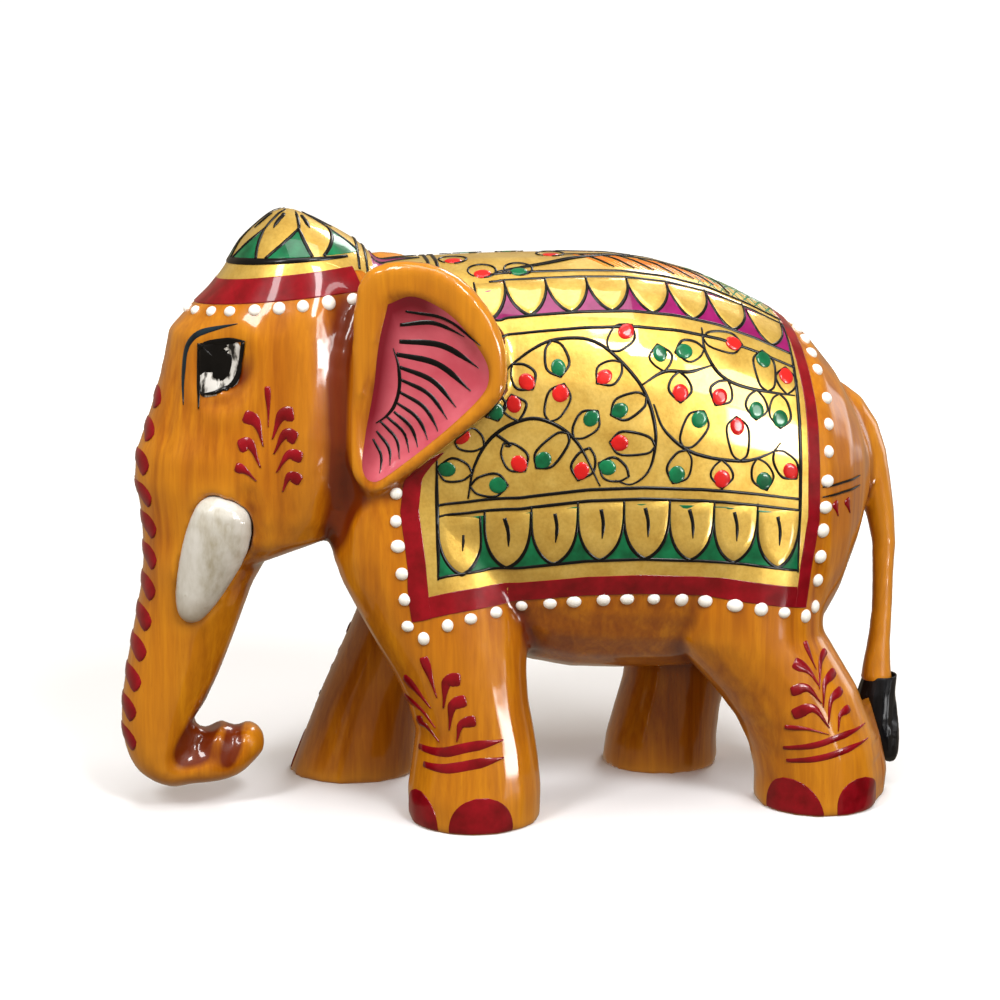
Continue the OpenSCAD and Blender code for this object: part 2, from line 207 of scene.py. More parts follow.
# Creases on the left side, and their mirror images: depth, width, and the line x, y, z
CREASES = [
    (1.5, 1.5, [(18.5, -54, 65), (17.5, -52.8, 58), (14.5, -53, 51), (11, -55, 45)]),
    (0.9, 3.2, [(16.5, -35, 102), (20, -36, 91), (21, -37, 80), (19, -37.5, 68), (17.5, -36.5, 56)]),
    (-0.7, 3.2, [(18, -42, 98), (20, -43, 88), (21, -43.5, 78), (20, -43.5, 68), (18, -43, 60)]),
    (1.0, 1.6, [(24, -25, 77), (24, -31, 69), (17.5, -36.5, 60)]),
    (0.5, 1.2, [(9, -66, 92), (8, -67.5, 84), (8.5, -69, 76)]),
    (1.3, 1.1, [(0, -56.0, 17), (4, -56.8, 14.5), (6.3, -57.6, 11.5), (6.5, -58.2, 9.2)]),
    (1.8, 1.9, [(0, -62.0, 17.5), (5, -63.0, 16), (7, -65.6, 13), (7.4, -67.0, 10.6)])]
# Painted shade: lines where the wood is darkened as if in shade, along creases and hollows, round the
# trunk tip and eyes, under the jaw and belly and by the tail: depth of colour, width, and the line
PAINTED_SHADE_LINES = [
    (0.9, 2.0, [(18, -53.4, 62.5), (17, -52.8, 58), (14.5, -53, 51), (11, -55, 45)]),
    (0.9, 3.0, [(7, -66.5, 12.5), (5, -63.5, 15), (2, -61.5, 20), (2, -60.5, 30)]),
    (1.3, 1.5, [(0, -56.2, 17), (4, -57, 14.5), (6.3, -57.6, 11.5), (6.5, -58.2, 9.2)]),
    (1.15, 6.0, [(5, -50, 14), (6, -55, 12), (6, -61, 12), (3, -62, 18)]),
    (0.7, 2.2, [(24.5, -22, 79), (24, -31, 68.5), (18, -36.5, 60), (15, -36, 54)]),
    (0.45, 3.0, [(16.5, -35.5, 102), (20, -36.5, 91), (20.5, -37, 80), (19, -37, 68)]),
    (0.5, 1.6, [(11, -62.5, 81), (14, -59, 82.6), (16, -54.6, 85.2), (17, -52.2, 90),
                (17.4, -51.4, 94)]),
    (0.45, 6.0, [(10, -50, 52), (12, -40, 50), (12, -33, 52)]),
    (0.35, 9.0, [(10, -8, 36), (10, 10, 34), (10, 28, 33)]),
    (0.6, 2.5, [(9, 70, 60), (10, 72, 50), (10, 72, 30)]),
    (0.35, 5.0, [(20, 42, 40), (22, 44, 30), (22, 46, 22)])]
# Painted shade: the legs' inner faces are darker, as if in shade, below this height and behind this y
INNER_PAINTED_SHADE = 0.42
INNER_Z = 50
INNER_Y = -50


def bump(distance, width):
    return np.exp(-(distance / width) ** 2)


def distance_to_line(points, line):
    """Each point's distance to a line of points."""
    best = np.full(len(points), 1e9)
    for a, b in zip(line[:-1], line[1:]):
        along = b - a
        t = np.clip((points - a) @ along / max(along @ along, 1e-9), 0, 1)
        best = np.minimum(best, np.linalg.norm(points - a - t[:, None] * along, axis=1))
    return best


def depth_of(marks, points):
    """The summed depth at each point of marks on both sides: depth, width, and the left line."""
    total = np.zeros(len(points))
    for side in (LEFT, RIGHT):
        for depth, width, line in marks:
            away = distance_to_line(points, np.array(line, float) * vec(side, 1, 1))
            total += depth * bump(away, width)
    return total


class Skin:
    """The carved surface, which paint is laid on."""

    def __init__(self, points, faces):
        self.tree = BVHTree.FromPolygons(points.tolist(), faces)

    def lay(self, points, lift=0.0):
        """The nearest places on the skin, raised by lift, which is one number or one per point."""
        lift = np.broadcast_to(lift, len(points))
        out = np.empty((len(points), 3))
        for i, p in enumerate(points):
            place, normal, _, _ = self.tree.find_nearest(p.tolist())
            out[i] = place + normal * lift[i]
        return out

    def lay_one(self, point, lift=0.0):
        return self.lay(np.asarray(point, float)[None], lift)[0]

    def normals(self, points):
        return np.array([self.tree.find_nearest(p.tolist())[1] for p in points])

    def cast(self, start, direction):
        """Where a ray meets the skin, or None."""
        return self.tree.ray_cast(start.tolist(), direction.tolist())[0]

    def seen(self, side, y, z):
        """The place on the skin that a ray from the side meets at y and z."""
        return np.array(self.cast(vec(60 * side, y, z), vec(-side, 0, 0)))

    def seen_all(self, side, places):
        return [self.seen(side, y, z) for y, z in places]


def carve_creases(points):
    """How far each point is cut in (above 0) or left standing (below 0)."""
    cut = depth_of(CREASES, points)
    for side in (LEFT, RIGHT):
        away = np.linalg.norm((points - EYE_SPOT * vec(side, 1, 1)) / EYE_SIZE, axis=1)
        cut += 0.45 * bump(away - 1.0, 0.25) - 0.2 * bump(away - 1.6, 0.3)
    return cut


def carve():
    """The block's surface with rounded edges, cut creases, and a tail that fits in its tuft."""
    points, faces, edges = remeshed("carved_body", VOXEL)
    tail = np.clip((points[:, 1] - TAIL_Y) / FADE, 0, 1)
    x, y, z = np.abs(points[:, 0]), points[:, 1], points[:, 2]
    ear = np.clip((x - EAR_X) / FADE, 0, 1) * (y < EAR_Y) * (z > EAR_Z)
    share = (1 - THIN_KEEP * np.maximum(tail, ear))[:, None]
    points = relax(points, edges, BLOCK_ROUNDS, share)
    cut = carve_creases(points)[:, None]
    points = points - cut * normals_of(points, faces)
    points = relax(points, edges, CUT_ROUNDS, share)
    points = relax(points, edges, CREASE_ROUNDS, share * np.clip(1.5 * cut, 0, 1), back=-0.05)
    tip = bump(np.linalg.norm(points - TRUNK_TIP, axis=1), TRUNK_TIP_SIZE)[:, None]
    points = relax(points, edges, TIP_ROUNDS, share * tip, back=-0.45)
    points[:, 2] = np.maximum(points[:, 2], 0)
    hidden = np.clip((TUFT_TOP - points[:, 2]) / 2, 0, 1) * (points[:, 1] > TAIL_Y)
    core = np.stack([np.interp(points[:, 2], TAIL_CORE[:, 0], TAIL_CORE[:, k]) for k in (1, 2)], 1)
    points[:, :2] += TAIL_SHRINK * hidden[:, None] * (core - points[:, :2])
    return points, faces, edges


def painted_shading_of(points, faces, edges):
    """The wood's painted shade and painted light: above 0 in creases, hollows, the painted-shade lines
    and the legs' inner faces, where the wood is darkened as if in shade, and below 0 on ridges, where
    it is lightened as if lit.
    """
    blurred = points
    for _ in range(BLUR_ROUNDS):
        blurred = neighbour_mean(blurred, edges)
    painted_shading = ((blurred - points) * normals_of(points, faces)).sum(1)
    x, y, z = np.abs(points[:, 0]), points[:, 1], points[:, 2]
    inner = np.clip(1.25 - x / 10, 0, 1) * np.clip((INNER_Z - z) / 8, 0, 1) * (y > INNER_Y)
    return painted_shading + INNER_PAINTED_SHADE * inner + depth_of(PAINTED_SHADE_LINES, points)


# ---------- the saddle cloth's surface ----------

# The back is measured by rays from a line inside the body at this height
SPINE_Z = 66
# Ahead of this y a ray may meet the ear, so it counts as no longer than the ray at this y
EAR_REAR_Y = -6
# A ray that meets nothing counts as this far from the spine
FAR = 40.0
# How far along the back the cloth's edges lie, by the share of the way down from the spine. The
# front edge runs back behind the ear, where the ear joins the flank.
FRONT_SHARES = [0, 0.17, 0.21, 0.25, 0.3, 0.35, 0.5, 0.54, 0.58, 0.62, 0.65, 0.68, 0.75, 1]
CLOTH_FRONT = [-17, -17, -16, -10.5, -8.5, -6.2, -6.2, -9.2, -14.6, -20.8, -23.0, -24.8, -25.6, -23.4]
REAR_SHARES = [0, 0.2, 0.45, 0.75, 1]
CLOTH_REAR = [52, 53.5, 54.8, 55, 52.8]
# The front border starts below the ear, at this share
BORDER_SHARE = 0.62
# The cloth's lower edge in side view: y, z
CLOTH_LOW = vec(-30, 41, -23.4, 42, -16.6, 43.3, -1.8, 45, 9.2, 46.1, 19.6, 46.3,
                31.4, 45.6, 42.6, 43.9, 52.8, 42.1, 60, 41).reshape(-1, 2)


class Chart:
    """Finds a place on the back from y and v, the share of the way from the spine (0) down to
    the cloth's lower edge: 1 on the left side and -1 on the right."""

    def __init__(self, skin):
        self.skin = skin
        self.rows = np.arange(-30.0, 60.0, 1.0)
        self.angles = np.arange(0.0, 150.0, 1.5)
        self.reach, self.full = {}, {}
        for side in (LEFT, RIGHT):
            radius = np.array([[self.radius(y, a * side) for a in self.angles] for y in self.rows])
            limit = radius[self.rows >= EAR_REAR_Y][0]
            ahead = self.rows < EAR_REAR_Y
            radius[ahead] = np.minimum(radius[ahead], limit)
            turn = np.radians(self.angles)
            x, z = radius * np.sin(turn), radius * np.cos(turn)
            length = np.hypot(np.diff(x), np.diff(z)).cumsum(1)
            length = np.hstack([np.zeros((len(self.rows), 1)), length])
            low = np.interp(self.rows, *CLOTH_LOW.T) - SPINE_Z
            self.reach[side] = (length, radius)
            self.full[side] = np.array([np.interp(-h, -row, run) for h, row, run in
                                        zip(low, z, length)])

    def radius(self, y, angle):
        turn = math.radians(angle)
        start = vec(0, y, SPINE_Z)
        hit = self.skin.cast(start, vec(math.sin(turn), 0, math.cos(turn)))
        return FAR if hit is None else float(np.linalg.norm(np.array(hit) - start))

    def length(self, y, side):
        """The distance down the flank from the spine to the cloth's lower edge."""
        return np.interp(y, self.rows, self.full[side])

    def at(self, y, v):
        side = LEFT if v >= 0 else RIGHT
        length, radius = self.reach[side]
        place = min(max(y - self.rows[0], 0), len(self.rows) - 1.001)
        i, f = int(place), place - int(place)
        run, far = (t[i] * (1 - f) + t[i + 1] * f for t in (length, radius))
        angle = np.interp(abs(v) * self.length(y, side), run, self.angles)
        turn = math.radians(angle)
        reach = np.interp(angle, self.angles, far)
        return vec(side * reach * math.sin(turn), y, SPINE_Z + reach * math.cos(turn))


# ---------- paint ----------

# How far each layer of paint stands above the wood, and how far its edges run down into it
GOLD = 0.12
COLOUR = 0.19
PETAL = 0.25
LINE = 0.35
BUD = 0.36
EDGE = 0.16
LINE_STEP = 0.7
# Across a brushed line and across a dab: places from its left edge to its right, and how far sunk
LINE_SECTION = ((1, EDGE), (0.55, 0), (-0.55, 0), (-1, EDGE))
DAB_SECTION = ((1, EDGE), (0.8, 0), (0, -0.05), (-0.8, 0), (-1, EDGE))


class Coat:
    """Collects painted shapes in one colour, which together become one piece."""

    def __init__(self, name, material, slot, *nodes):
        self.name, self.material, self.slot_name, self.nodes = name, material, slot, nodes
        self.points, self.faces = [], []

    def add(self, points, faces):
        first = len(self.points)
        self.points.extend(np.asarray(points).tolist())
        self.faces.extend(tuple(first + i for i in f) for f in faces)

    def make(self):
        made = make_object(self.name, self.points, self.faces, self.material)
        register(made, self.slot_name, *self.nodes)
        return made


def ribbon(coat, line, width, profile, section, lift, skin):
    """A raised stroke along a line on the skin. profile gives its width along the line."""
    line = skin.lay(np.asarray(line, float))
    along = unit(np.gradient(line, axis=0))
    across = unit(np.cross(skin.normals(line), along))
    half = (width / 2 * np.interp(np.linspace(0, 1, len(line)), *profile))[:, None]
    rows = [skin.lay(line + across * half * side, lift - sunk) for side, sunk in section]
    count = len(section)
    first, last = range(count), range((len(line) - 1) * count, len(line) * count)
    coat.add(np.stack(rows, 1).reshape(-1, 3),
             grid_faces(len(line), count) + [tuple(first)[::-1], tuple(last)])


def brush(coat, line, width, lift=LINE, taper=(0.5, 0.5), skin=None):
    """A line of even width. taper is its share of the width at each end."""
    profile = [0, 0.3, 0.7, 1], [taper[0], 1, 1, taper[1]]
    ribbon(coat, line, width, profile, LINE_SECTION, lift, skin or SKIN)


def dab(coat, places, width, shape=(0.72, 0.98, 1, 0.62, 0.3, 0.1)):
    """A brush dab along a line of places: broad where the brush is set down, and drawn out thin."""
    profile = [0, 0.05, 0.22, 0.45, 0.7, 1], shape
    ribbon(coat, smooth_line(places, 0.4), width, profile, DAB_SECTION, COLOUR, SKIN)


def local_axes(skin, centre, up):
    normal = skin.normals([centre])[0]
    v = unit(up - normal * (normal @ up))
    return np.cross(v, normal), v


def area(outline):
    x, y = np.asarray(outline).T
    return (x * np.roll(y, -1) - y * np.roll(x, -1)).sum() / 2


def fill(coat, centre, outline, lift, up, skin=None, rings=(1, 0.93, 0.62, 0.3), crown=0.0):
    """A filled shape on the skin. Its outline runs round the centre, in millimetres across and up,
    and its middle stands higher than its edge by the crown."""
    skin = skin or SKIN
    u, v = local_axes(skin, centre, up)
    points = []
    for ring in rings:
        flat = centre + ring * (outline[:, :1] * u + outline[:, 1:] * v)
        points.append(skin.lay(flat, lift + crown * (1 - ring ** 2) - (EDGE if ring == 1 else 0)))
    points.append(skin.lay(centre[None], lift + crown))
    faces = disc_faces(len(rings), len(outline))
    coat.add(np.vstack(points), facing(faces, area(outline) >= 0))


def edged(grid):
    """The grid with rows added close to its first and last rows, so that the coat's edge is steep."""
    outer = grid[[0, -1]]
    inner = grid[[1, -2]]
    near = [(1 - f) * outer + f * inner for f in (0.1, 0.22)]
    return np.concatenate([grid[:1], near[0][:1], near[1][:1], grid[1:-1],
                           near[1][1:], near[0][1:], grid[-1:]])


def spread(coat, grid, lift):
    """A coat over a grid of places on the skin, with its edges run down into it."""
    grid = edged(edged(np.asarray(grid, float)).swapaxes(0, 1)).swapaxes(0, 1)
    rows, columns = grid.shape[:2]
    height = np.full((rows, columns), float(lift))
    height[[0, -1], :] = lift - EDGE
    height[:, [0, -1]] = lift - EDGE
    points = SKIN.lay(grid.reshape(-1, 3), height.ravel())
    faces = grid_faces(rows, columns)
    a, b, c = (points[faces[0][k]] for k in (0, 1, 3))
    coat.add(points, facing(faces, np.cross(b - a, c - a) @ SKIN.normals([a])[0] > 0))


# A bead's rings of points: their turns up from its rim, the points in each, and how far it is sunk
BEAD_TURNS = (0, 22, 42, 60, 76)
BEAD_AROUND = 18
BEAD_SUNK = 0.1


def bead(coat, place, radius, height, up=UP):
    """A raised dot of thick paint, a little uneven."""
    place = SKIN.lay_one(place)
    normal = SKIN.normals([place])[0]
    u, v = local_axes(SKIN, place, up)
    stretch = RANDOM.uniform(0.92, 1.1)
    points = []
    for turn in map(math.radians, BEAD_TURNS):
        out, high = radius * math.cos(turn), height * math.sin(turn) - BEAD_SUNK
        for i in range(BEAD_AROUND):
            a = 2 * math.pi * i / BEAD_AROUND
            flat = place + out * (u * math.cos(a) * stretch + v * math.sin(a) / stretch)
            points.append(flat + normal * high)
    points.append(place + normal * (height - BEAD_SUNK))
    coat.add(points, disc_faces(len(BEAD_TURNS), BEAD_AROUND))


def oval(width, height, count=16):
    t = np.linspace(0, 2 * math.pi, count, endpoint=False)
    return np.stack([width / 2 * np.cos(t), height / 2 * np.sin(t)], 1)


# ---------- places on the cloth, head, legs and ears ----------

def cloth(y, d, side=LEFT):
    """A place on the cloth at y along the back, d up the flank from the cloth's lower edge."""
    return CHART.at(y, side * max(1 - d / CHART.length(y, side), 0.0001))


def cloth_line(points, side, step=LINE_STEP):
    return [cloth(y, d, side) for y, d in smooth_line(points, step)]


def row(y0, y1, height, side):
    """A line along the cloth. height gives d at each y."""
    count = max(2, math.ceil(abs(y1 - y0) / LINE_STEP))
    return [cloth(y, height(y), side) for y in np.linspace(y0, y1, count + 1)]


def level_line(height):
    """The distance d of a line at a fixed height."""
    return lambda y: height


def upper(share):
    """The distance d of a line at a fixed share of the way down from the spine."""
    return lambda y: (1 - share) * CHART.length(y, LEFT)


HEAD_CENTRE = vec(0, -43.5, 97)
# A place on the head is searched for between these rises, halving the gap in each round
HEAD_RISES = (-60.0, 89.0)
SEARCH_ROUNDS = 24


def around_head(turn, rise):
    """The direction at a turn from the front towards the left, and a rise above level."""
    a, e = math.radians(turn), math.radians(rise)
    return vec(math.sin(a) * math.cos(e), -math.cos(a) * math.cos(e), math.sin(e))


def head(turn, z):
    """A place on the head at a height, turned from the front towards the left."""
    low, high = HEAD_RISES
    for _ in range(SEARCH_ROUNDS):
        middle = (low + high) / 2
        place = SKIN.cast(HEAD_CENTRE, around_head(turn, middle))
        low, high = (middle, high) if place.z < z else (low, middle)
    return np.array(place)


def rising(low, rise, turn):
    """A height on the head that rises from the front to the rear."""
    return low + rise * (1 - math.cos(math.radians(turn))) / 2


def band_z(turn):
    """The head band's lower edge."""
    return rising(100.4, 3.45, turn)


# Each leg's middle line from the sole up: z, then x on its own side, and y
LEGS = {
    "front_left": [(0, 17.5, -10.6), (16, 17.3, -10.5), (27, 16.8, -12.7), (39, 15, -15.4)],
    "front_right": [(0, 17.5, -31.2), (16, 17.3, -27), (27, 16.8, -21.5), (39, 15, -16.6)],
    "hind_left": [(0, 17.5, 58.8), (16, 17.5, 56), (26, 17.2, 50.4), (36, 16.5, 43)],
    "hind_right": [(0, 13, 33.6), (16, 13.7, 36.5), (26, 15, 39), (38, 15.5, 40.7)]}


def leg_middle(name, z):
    heights, across, along = np.array(LEGS[name]).T
    return np.interp(z, heights, across), np.interp(z, heights, along)


def leg(name, turn, z):
    """A place on a leg at a height, turned from the front towards the outer side."""
    side = SIDES[name.split("_")[1]]
    x, y = leg_middle(name, z)
    a = math.radians(turn)
    return np.array(SKIN.cast(vec(side * x, y, z), vec(side * math.sin(a), -math.cos(a), 0)))


# A ray from the side that meets nothing outside LEG_INNER_X has missed the leg. The skin nearest
# to LEG_OUTER_X is taken then.
LEG_INNER_X = 9
LEG_OUTER_X = 24


def leg_side(name, y, z):
    """A place on a leg's outer side, from y and z as they are on the left leg of its pair."""
    pair, word = name.split("_")
    side = SIDES[word]
    y += leg_middle(name, z)[1] - leg_middle(pair + "_left", z)[1]
    hit = SKIN.cast(vec(60 * side, y, z), vec(-side, 0, 0))
    if hit is None or hit.x * side < LEG_INNER_X:
        return SKIN.lay_one(vec(LEG_OUTER_X * side, y, z))
    return np.array(hit)


# The left ear's hinge in x and y, and how far both ears turn out from the head
EAR_HINGE = vec(22.8, -34.8)
EAR_TURN = math.radians(20)
# How much lower each ear hangs than the left one
EAR_DROP = {LEFT: 0.0, RIGHT: 2.3}


def ear(side, along, z):
    """The place on an ear's face at a distance along the ear from its hinge, and a height."""
    inward = vec(-side * math.cos(EAR_TURN), math.sin(EAR_TURN), 0)
    near = vec(side * (EAR_HINGE[0] + along * math.sin(EAR_TURN)),
               EAR_HINGE[1] + along * math.cos(EAR_TURN), z - EAR_DROP[side])
    return np.array(SKIN.cast(near - inward * 6, inward))


# ---------- materials ----------

# The wood and paint shine little of themselves: the lacquer over them shines
UNDERCOAT_SHINE = 0.15


def attach(tree, value, socket):
    """Links another node's output to a socket, or sets the socket's own number or colour."""
    if isinstance(value, bpy.types.NodeSocket):
        tree.links.new(value, socket)
    else:
        socket.default_value = (*value, 1.0) if socket.type == "RGBA" else value


def build(tree, kind, inputs, **settings):
    """A shader node, with numbers, colours or other nodes' outputs attached to its inputs."""
    made = tree.nodes.new("ShaderNode" + kind)
    for key, value in settings.items():
        setattr(made, key, value)
    for key, value in inputs.items():
        attach(tree, value, made.inputs[key])
    return made


class Finish:
    """A material: a Principled shader with its constant numbers, and helpers for its nodes."""

    def __init__(self, name, roughness, coat=0.0, coat_roughness=0.04, metallic=0.0):
        self.material = bpy.data.materials.new(name)
        self.material.use_nodes = True
        self.tree = self.material.node_tree
        self.shader = self.tree.nodes["Principled BSDF"]
        for key, value in (("Roughness", roughness), ("Metallic", metallic), ("Coat Weight", coat),
                           ("Coat Roughness", coat_roughness), ("IOR", 1.5),
                           ("Specular IOR Level", UNDERCOAT_SHINE)):
            self.shader.inputs[key].default_value = value
        self.place = build(self.tree, "TexCoord", {}).outputs["Object"]

    def scaled(self, x, y, z):
        return build(self.tree, "Mapping", {"Vector": self.place, "Scale": (x, y, z)}).outputs[0]

    def noise(self, scale, size=(1, 1, 1), detail=3.0, roughness=0.55, distortion=0.0):
        made = build(self.tree, "TexNoise", {"Vector": self.scaled(*size), "Scale": scale,
                                             "Detail": detail, "Roughness": roughness,
                                             "Distortion": distortion})
        return made.outputs["Fac"]

    def speckle(self, scale, size=(1, 1, 1)):
        made = build(self.tree, "TexVoronoi", {"Vector": self.scaled(*size), "Scale": scale})
        return made.outputs["Distance"]

    def ramp(self, value, *stops):
        """A colour for each value. Each stop is a value and its red, green and blue."""
        made = build(self.tree, "ValToRGB", {"Fac": value})
        ramp = made.color_ramp
        while len(ramp.elements) < len(stops):
            ramp.elements.new(0.5)
        for element, (place, colour) in zip(ramp.elements, stops):
            element.position, element.color = place, (*colour, 1.0)
        return made.outputs["Color"]

    def level(self, value, low, high, out_low=0.0, out_high=1.0):
        made = build(self.tree, "MapRange", {"Value": value, "From Min": low, "From Max": high,
                                             "To Min": out_low, "To Max": out_high})
        return made.outputs["Result"]

    def mix(self, share, first, second, blend="MIX"):
        made = build(self.tree, "Mix", {0: share}, data_type="RGBA", blend_type=blend)
        for socket, value in zip([s for s in made.inputs if s.type == "RGBA"], (first, second)):
            attach(self.tree, value, socket)
        return [o for o in made.outputs if o.type == "RGBA"][0]

    def attribute(self, name):
        return build(self.tree, "Attribute", {}, attribute_name=name).outputs["Fac"]

    def colour(self, socket):
        self.tree.links.new(socket, self.shader.inputs["Base Color"])

    def glow(self, strength):
        """White light from the surface itself."""
        attach(self.tree, (1, 1, 1), self.shader.inputs["Emission Color"])
        attach(self.tree, strength, self.shader.inputs["Emission Strength"])

    def bumps(self, *layers):
        """Relief in the surface: each layer is a value and its height in millimetres."""
        below = {}
        for value, height in layers:
            inputs = {"Height": value, "Strength": 1.0, "Distance": height * MM, **below}
            below = {"Normal": build(self.tree, "Bump", inputs).outputs["Normal"]}
        self.tree.links.new(below["Normal"], self.shader.inputs["Normal"])


def lacquered_wood():
    f = Finish("lacquered_wood", roughness=0.36, coat=0.8, coat_roughness=0.075)
    grain = f.noise(1100, (1, 1, 0.05), detail=5, distortion=0.3)
    streaks = f.noise(230, (1, 1, 0.10), detail=4, distortion=0.9)
    clouds = f.noise(42, (1, 1, 0.5), detail=3)
    wood = f.ramp(streaks, (0.30, (0.36, 0.098, 0.0008)), (0.50, (0.485, 0.156, 0.0014)),
                  (0.70, (0.60, 0.225, 0.0035)))
    fine = f.ramp(grain, (0.36, (0.72, 0.60, 0.42)), (0.60, (1, 1, 1)))
    wood = f.mix(0.55, wood, fine, "MULTIPLY")
    cloud = f.ramp(clouds, (0.32, (0.80, 0.66, 0.45)), (0.62, (1, 1, 1)))
    wood = f.mix(0.75, wood, cloud, "MULTIPLY")
    pores = f.level(f.speckle(1500, (1, 1, 0.12)), 0.0, 0.16, 0.35, 0.0)
    wood = f.mix(pores, wood, (0.20, 0.036, 0.001))
    # Painted shade: the wood darkens to red-brown in creases and hollows. Painted light: it turns a
    # lighter honey colour on ridges.
    painted_shading = f.attribute("painted_shading")
    wood = f.mix(f.level(painted_shading, 0.06, 0.85, 0, 0.93), wood, (0.125, 0.010, 0.0004))
    wood = f.mix(f.level(painted_shading, -0.08, -0.9, 0, 0.4), wood, (0.68, 0.29, 0.016))
    f.colour(wood)
    f.bumps((f.noise(110, (1, 1, 0.5), detail=2), 0.22), (grain, 0.010))
    return f.material


def gold_leaf():
    f = Finish("gold_leaf", roughness=0.38, coat=0.8, coat_roughness=0.045, metallic=0.45)
    mottle = f.noise(160, detail=5, roughness=0.65)
    gold = f.ramp(mottle, (0.30, (0.53, 0.315, 0.050)), (0.5, (0.63, 0.41, 0.082)),
                  (0.7, (0.71, 0.49, 0.120)))
    worn = f.level(f.speckle(420), 0.02, 0.09, 0.14, 0.0)
    gold = f.mix(worn, gold, (0.30, 0.13, 0.025))
    grains = f.noise(1600, detail=2)
    fine = f.ramp(grains, (0.3, (0.78, 0.74, 0.66)), (0.6, (1, 1, 1)))
    f.colour(f.mix(0.5, gold, fine, "MULTIPLY"))
    f.bumps((mottle, 0.07), (grains, 0.02))
    return f.material


def lacquer(name, deep, bright, coat=0.45):
    f = Finish(name, roughness=0.3, coat=coat, coat_roughness=0.05)
    brushed = f.noise(260, detail=3)
    f.colour(f.ramp(brushed, (0.3, deep), (0.7, bright)))
    f.bumps((brushed, 0.05), (f.noise(1100, detail=2), 0.015))
    return f.material


def relief_paint():
    f = Finish("relief_paint", roughness=0.4, coat=0.5, coat_roughness=0.1)
    tone = f.noise(500, detail=3)
    f.colour(f.ramp(tone, (0.3, (0.80, 0.77, 0.70)), (0.6, (0.90, 0.89, 0.85))))
    f.bumps((f.noise(1400, detail=3), 0.05))
    return f.material


def tusk_cream():
    f = Finish("tusk_cream", roughness=0.42, coat=0.7, coat_roughness=0.1)
    tone = f.noise(240, (1, 1, 0.4), detail=4, roughness=0.65)
    cream = f.ramp(tone, (0.30, (0.40, 0.36, 0.27)), (0.48, (0.56, 0.54, 0.48)),
                   (0.66, (0.66, 0.645, 0.60)))
    cream = f.mix(f.level(f.speckle(330), 0.0, 0.12, 0.35, 0.0), cream, (0.33, 0.25, 0.15))
    f.colour(f.mix(f.level(f.attribute("tip"), 0, 1, 0, 0.55), cream, (0.30, 0.20, 0.09)))
    f.bumps((tone, 0.12), (f.noise(900, detail=3), 0.03))
    return f.material


def ear_pink():
    f = Finish("ear_pink", roughness=0.3, coat=0.8, coat_roughness=0.05)
    tone = f.noise(130, detail=3)
    pink = f.ramp(tone, (0.3, (0.47, 0.060, 0.090)), (0.65, (0.57, 0.110, 0.145)))
    # Painted shade: the pink darkens to deep crimson along the ear's upper front rim.
    f.colour(f.mix(f.attribute("rim"), pink, (0.17, 0.0015, 0.012)))
    f.bumps((tone, 0.08), (f.noise(900, detail=2), 0.02))
    return f.material


def eye_white():
    f = Finish("eye_white", roughness=0.3, coat=0.7, coat_roughness=0.05)
    spots = f.noise(560, (1, 1, 0.5), detail=3, roughness=0.6)
    f.colour(f.ramp(spots, (0.38, (0.006, 0.006, 0.006)), (0.45, (0.25, 0.24, 0.22)),
                    (0.53, (0.60, 0.59, 0.56))))
    f.bumps((spots, 0.08))
    return f.material


def tuft_black():
    f = Finish("tuft_black", roughness=0.34, coat=0.12, coat_roughness=0.12)
    hair = f.noise(900, (1, 1, 0.08), detail=4)
    f.colour(f.ramp(hair, (0.3, (0.001, 0.001, 0.0015)), (0.7, (0.007, 0.007, 0.009))))
    f.bumps((hair, 0.035))
    return f.material


WOOD = lacquered_wood()
GOLD_LEAF = gold_leaf()
CRIMSON = lacquer("crimson_lacquer", (0.14, 0.0006, 0.003), (0.27, 0.002, 0.009))
RED = lacquer("red_lacquer", (0.48, 0.006, 0.007), (0.66, 0.016, 0.014))
GREEN = lacquer("green_lacquer", (0.001, 0.070, 0.025), (0.004, 0.18, 0.065))
MAGENTA = lacquer("magenta_lacquer", (0.17, 0.002, 0.065), (0.30, 0.008, 0.13))
BLACK = lacquer("black_lacquer", (0.001, 0.001, 0.0012), (0.004, 0.0035, 0.0035), coat=0.2)
ORANGE = lacquer("orange_lacquer", (0.58, 0.12, 0.004), (0.76, 0.22, 0.012))
BLUE_BLACK = lacquer("brow_lacquer", (0.003, 0.007, 0.011), (0.012, 0.028, 0.040), coat=0.4)
WHITE = relief_paint()
CREAM = tusk_cream()
PINK = ear_pink()
EYE = eye_white()
TUFT = tuft_black()


# ---------- wood, tusks, eyes and tuft ----------

TUSK_VOXEL = 0.4
# The tusks are stained below this height
TUSK_STAIN_Z = 46
# The painted eye in side view: y, z
EYE_CENTRE = (-58.2, 89.3)
IRIS_CENTRE = (-59.3, 91.2)
EYE_WHITE = [(-61.7, 93.3), (-58.2, 93.9), (-54.6, 94.1), (-54.1, 91.2), (-54.3, 88.1), (-55.4, 85.2),
             (-58.4, 83.8), (-61.8, 83.3), (-62.0, 86.9), (-61.9, 91.2)]
EYE_BLACK = [(-61.9, 93.6), (-58.4, 94.1), (-54.9, 94.0), (-55.6, 92.0), (-55.8, 89.8), (-56.5, 87.7),
             (-58.3, 86.2), (-59.9, 86.6), (-61.9, 87.3), (-62.0, 91.5)]
EYE_LINES = [(0.95, [(-62.0, 92.6), (-60.3, 93.7), (-56.3, 94.5), (-53.4, 94.4)]),
             (1.0, [(-53.8, 94.2), (-54.2, 91.3), (-54.7, 88.4), (-56.2, 85.9), (-58.8, 84.7),
                    (-61.6, 84.1)]),
             (0.7, [(-61.9, 93.6), (-62.1, 88), (-62.3, 81.3)])]
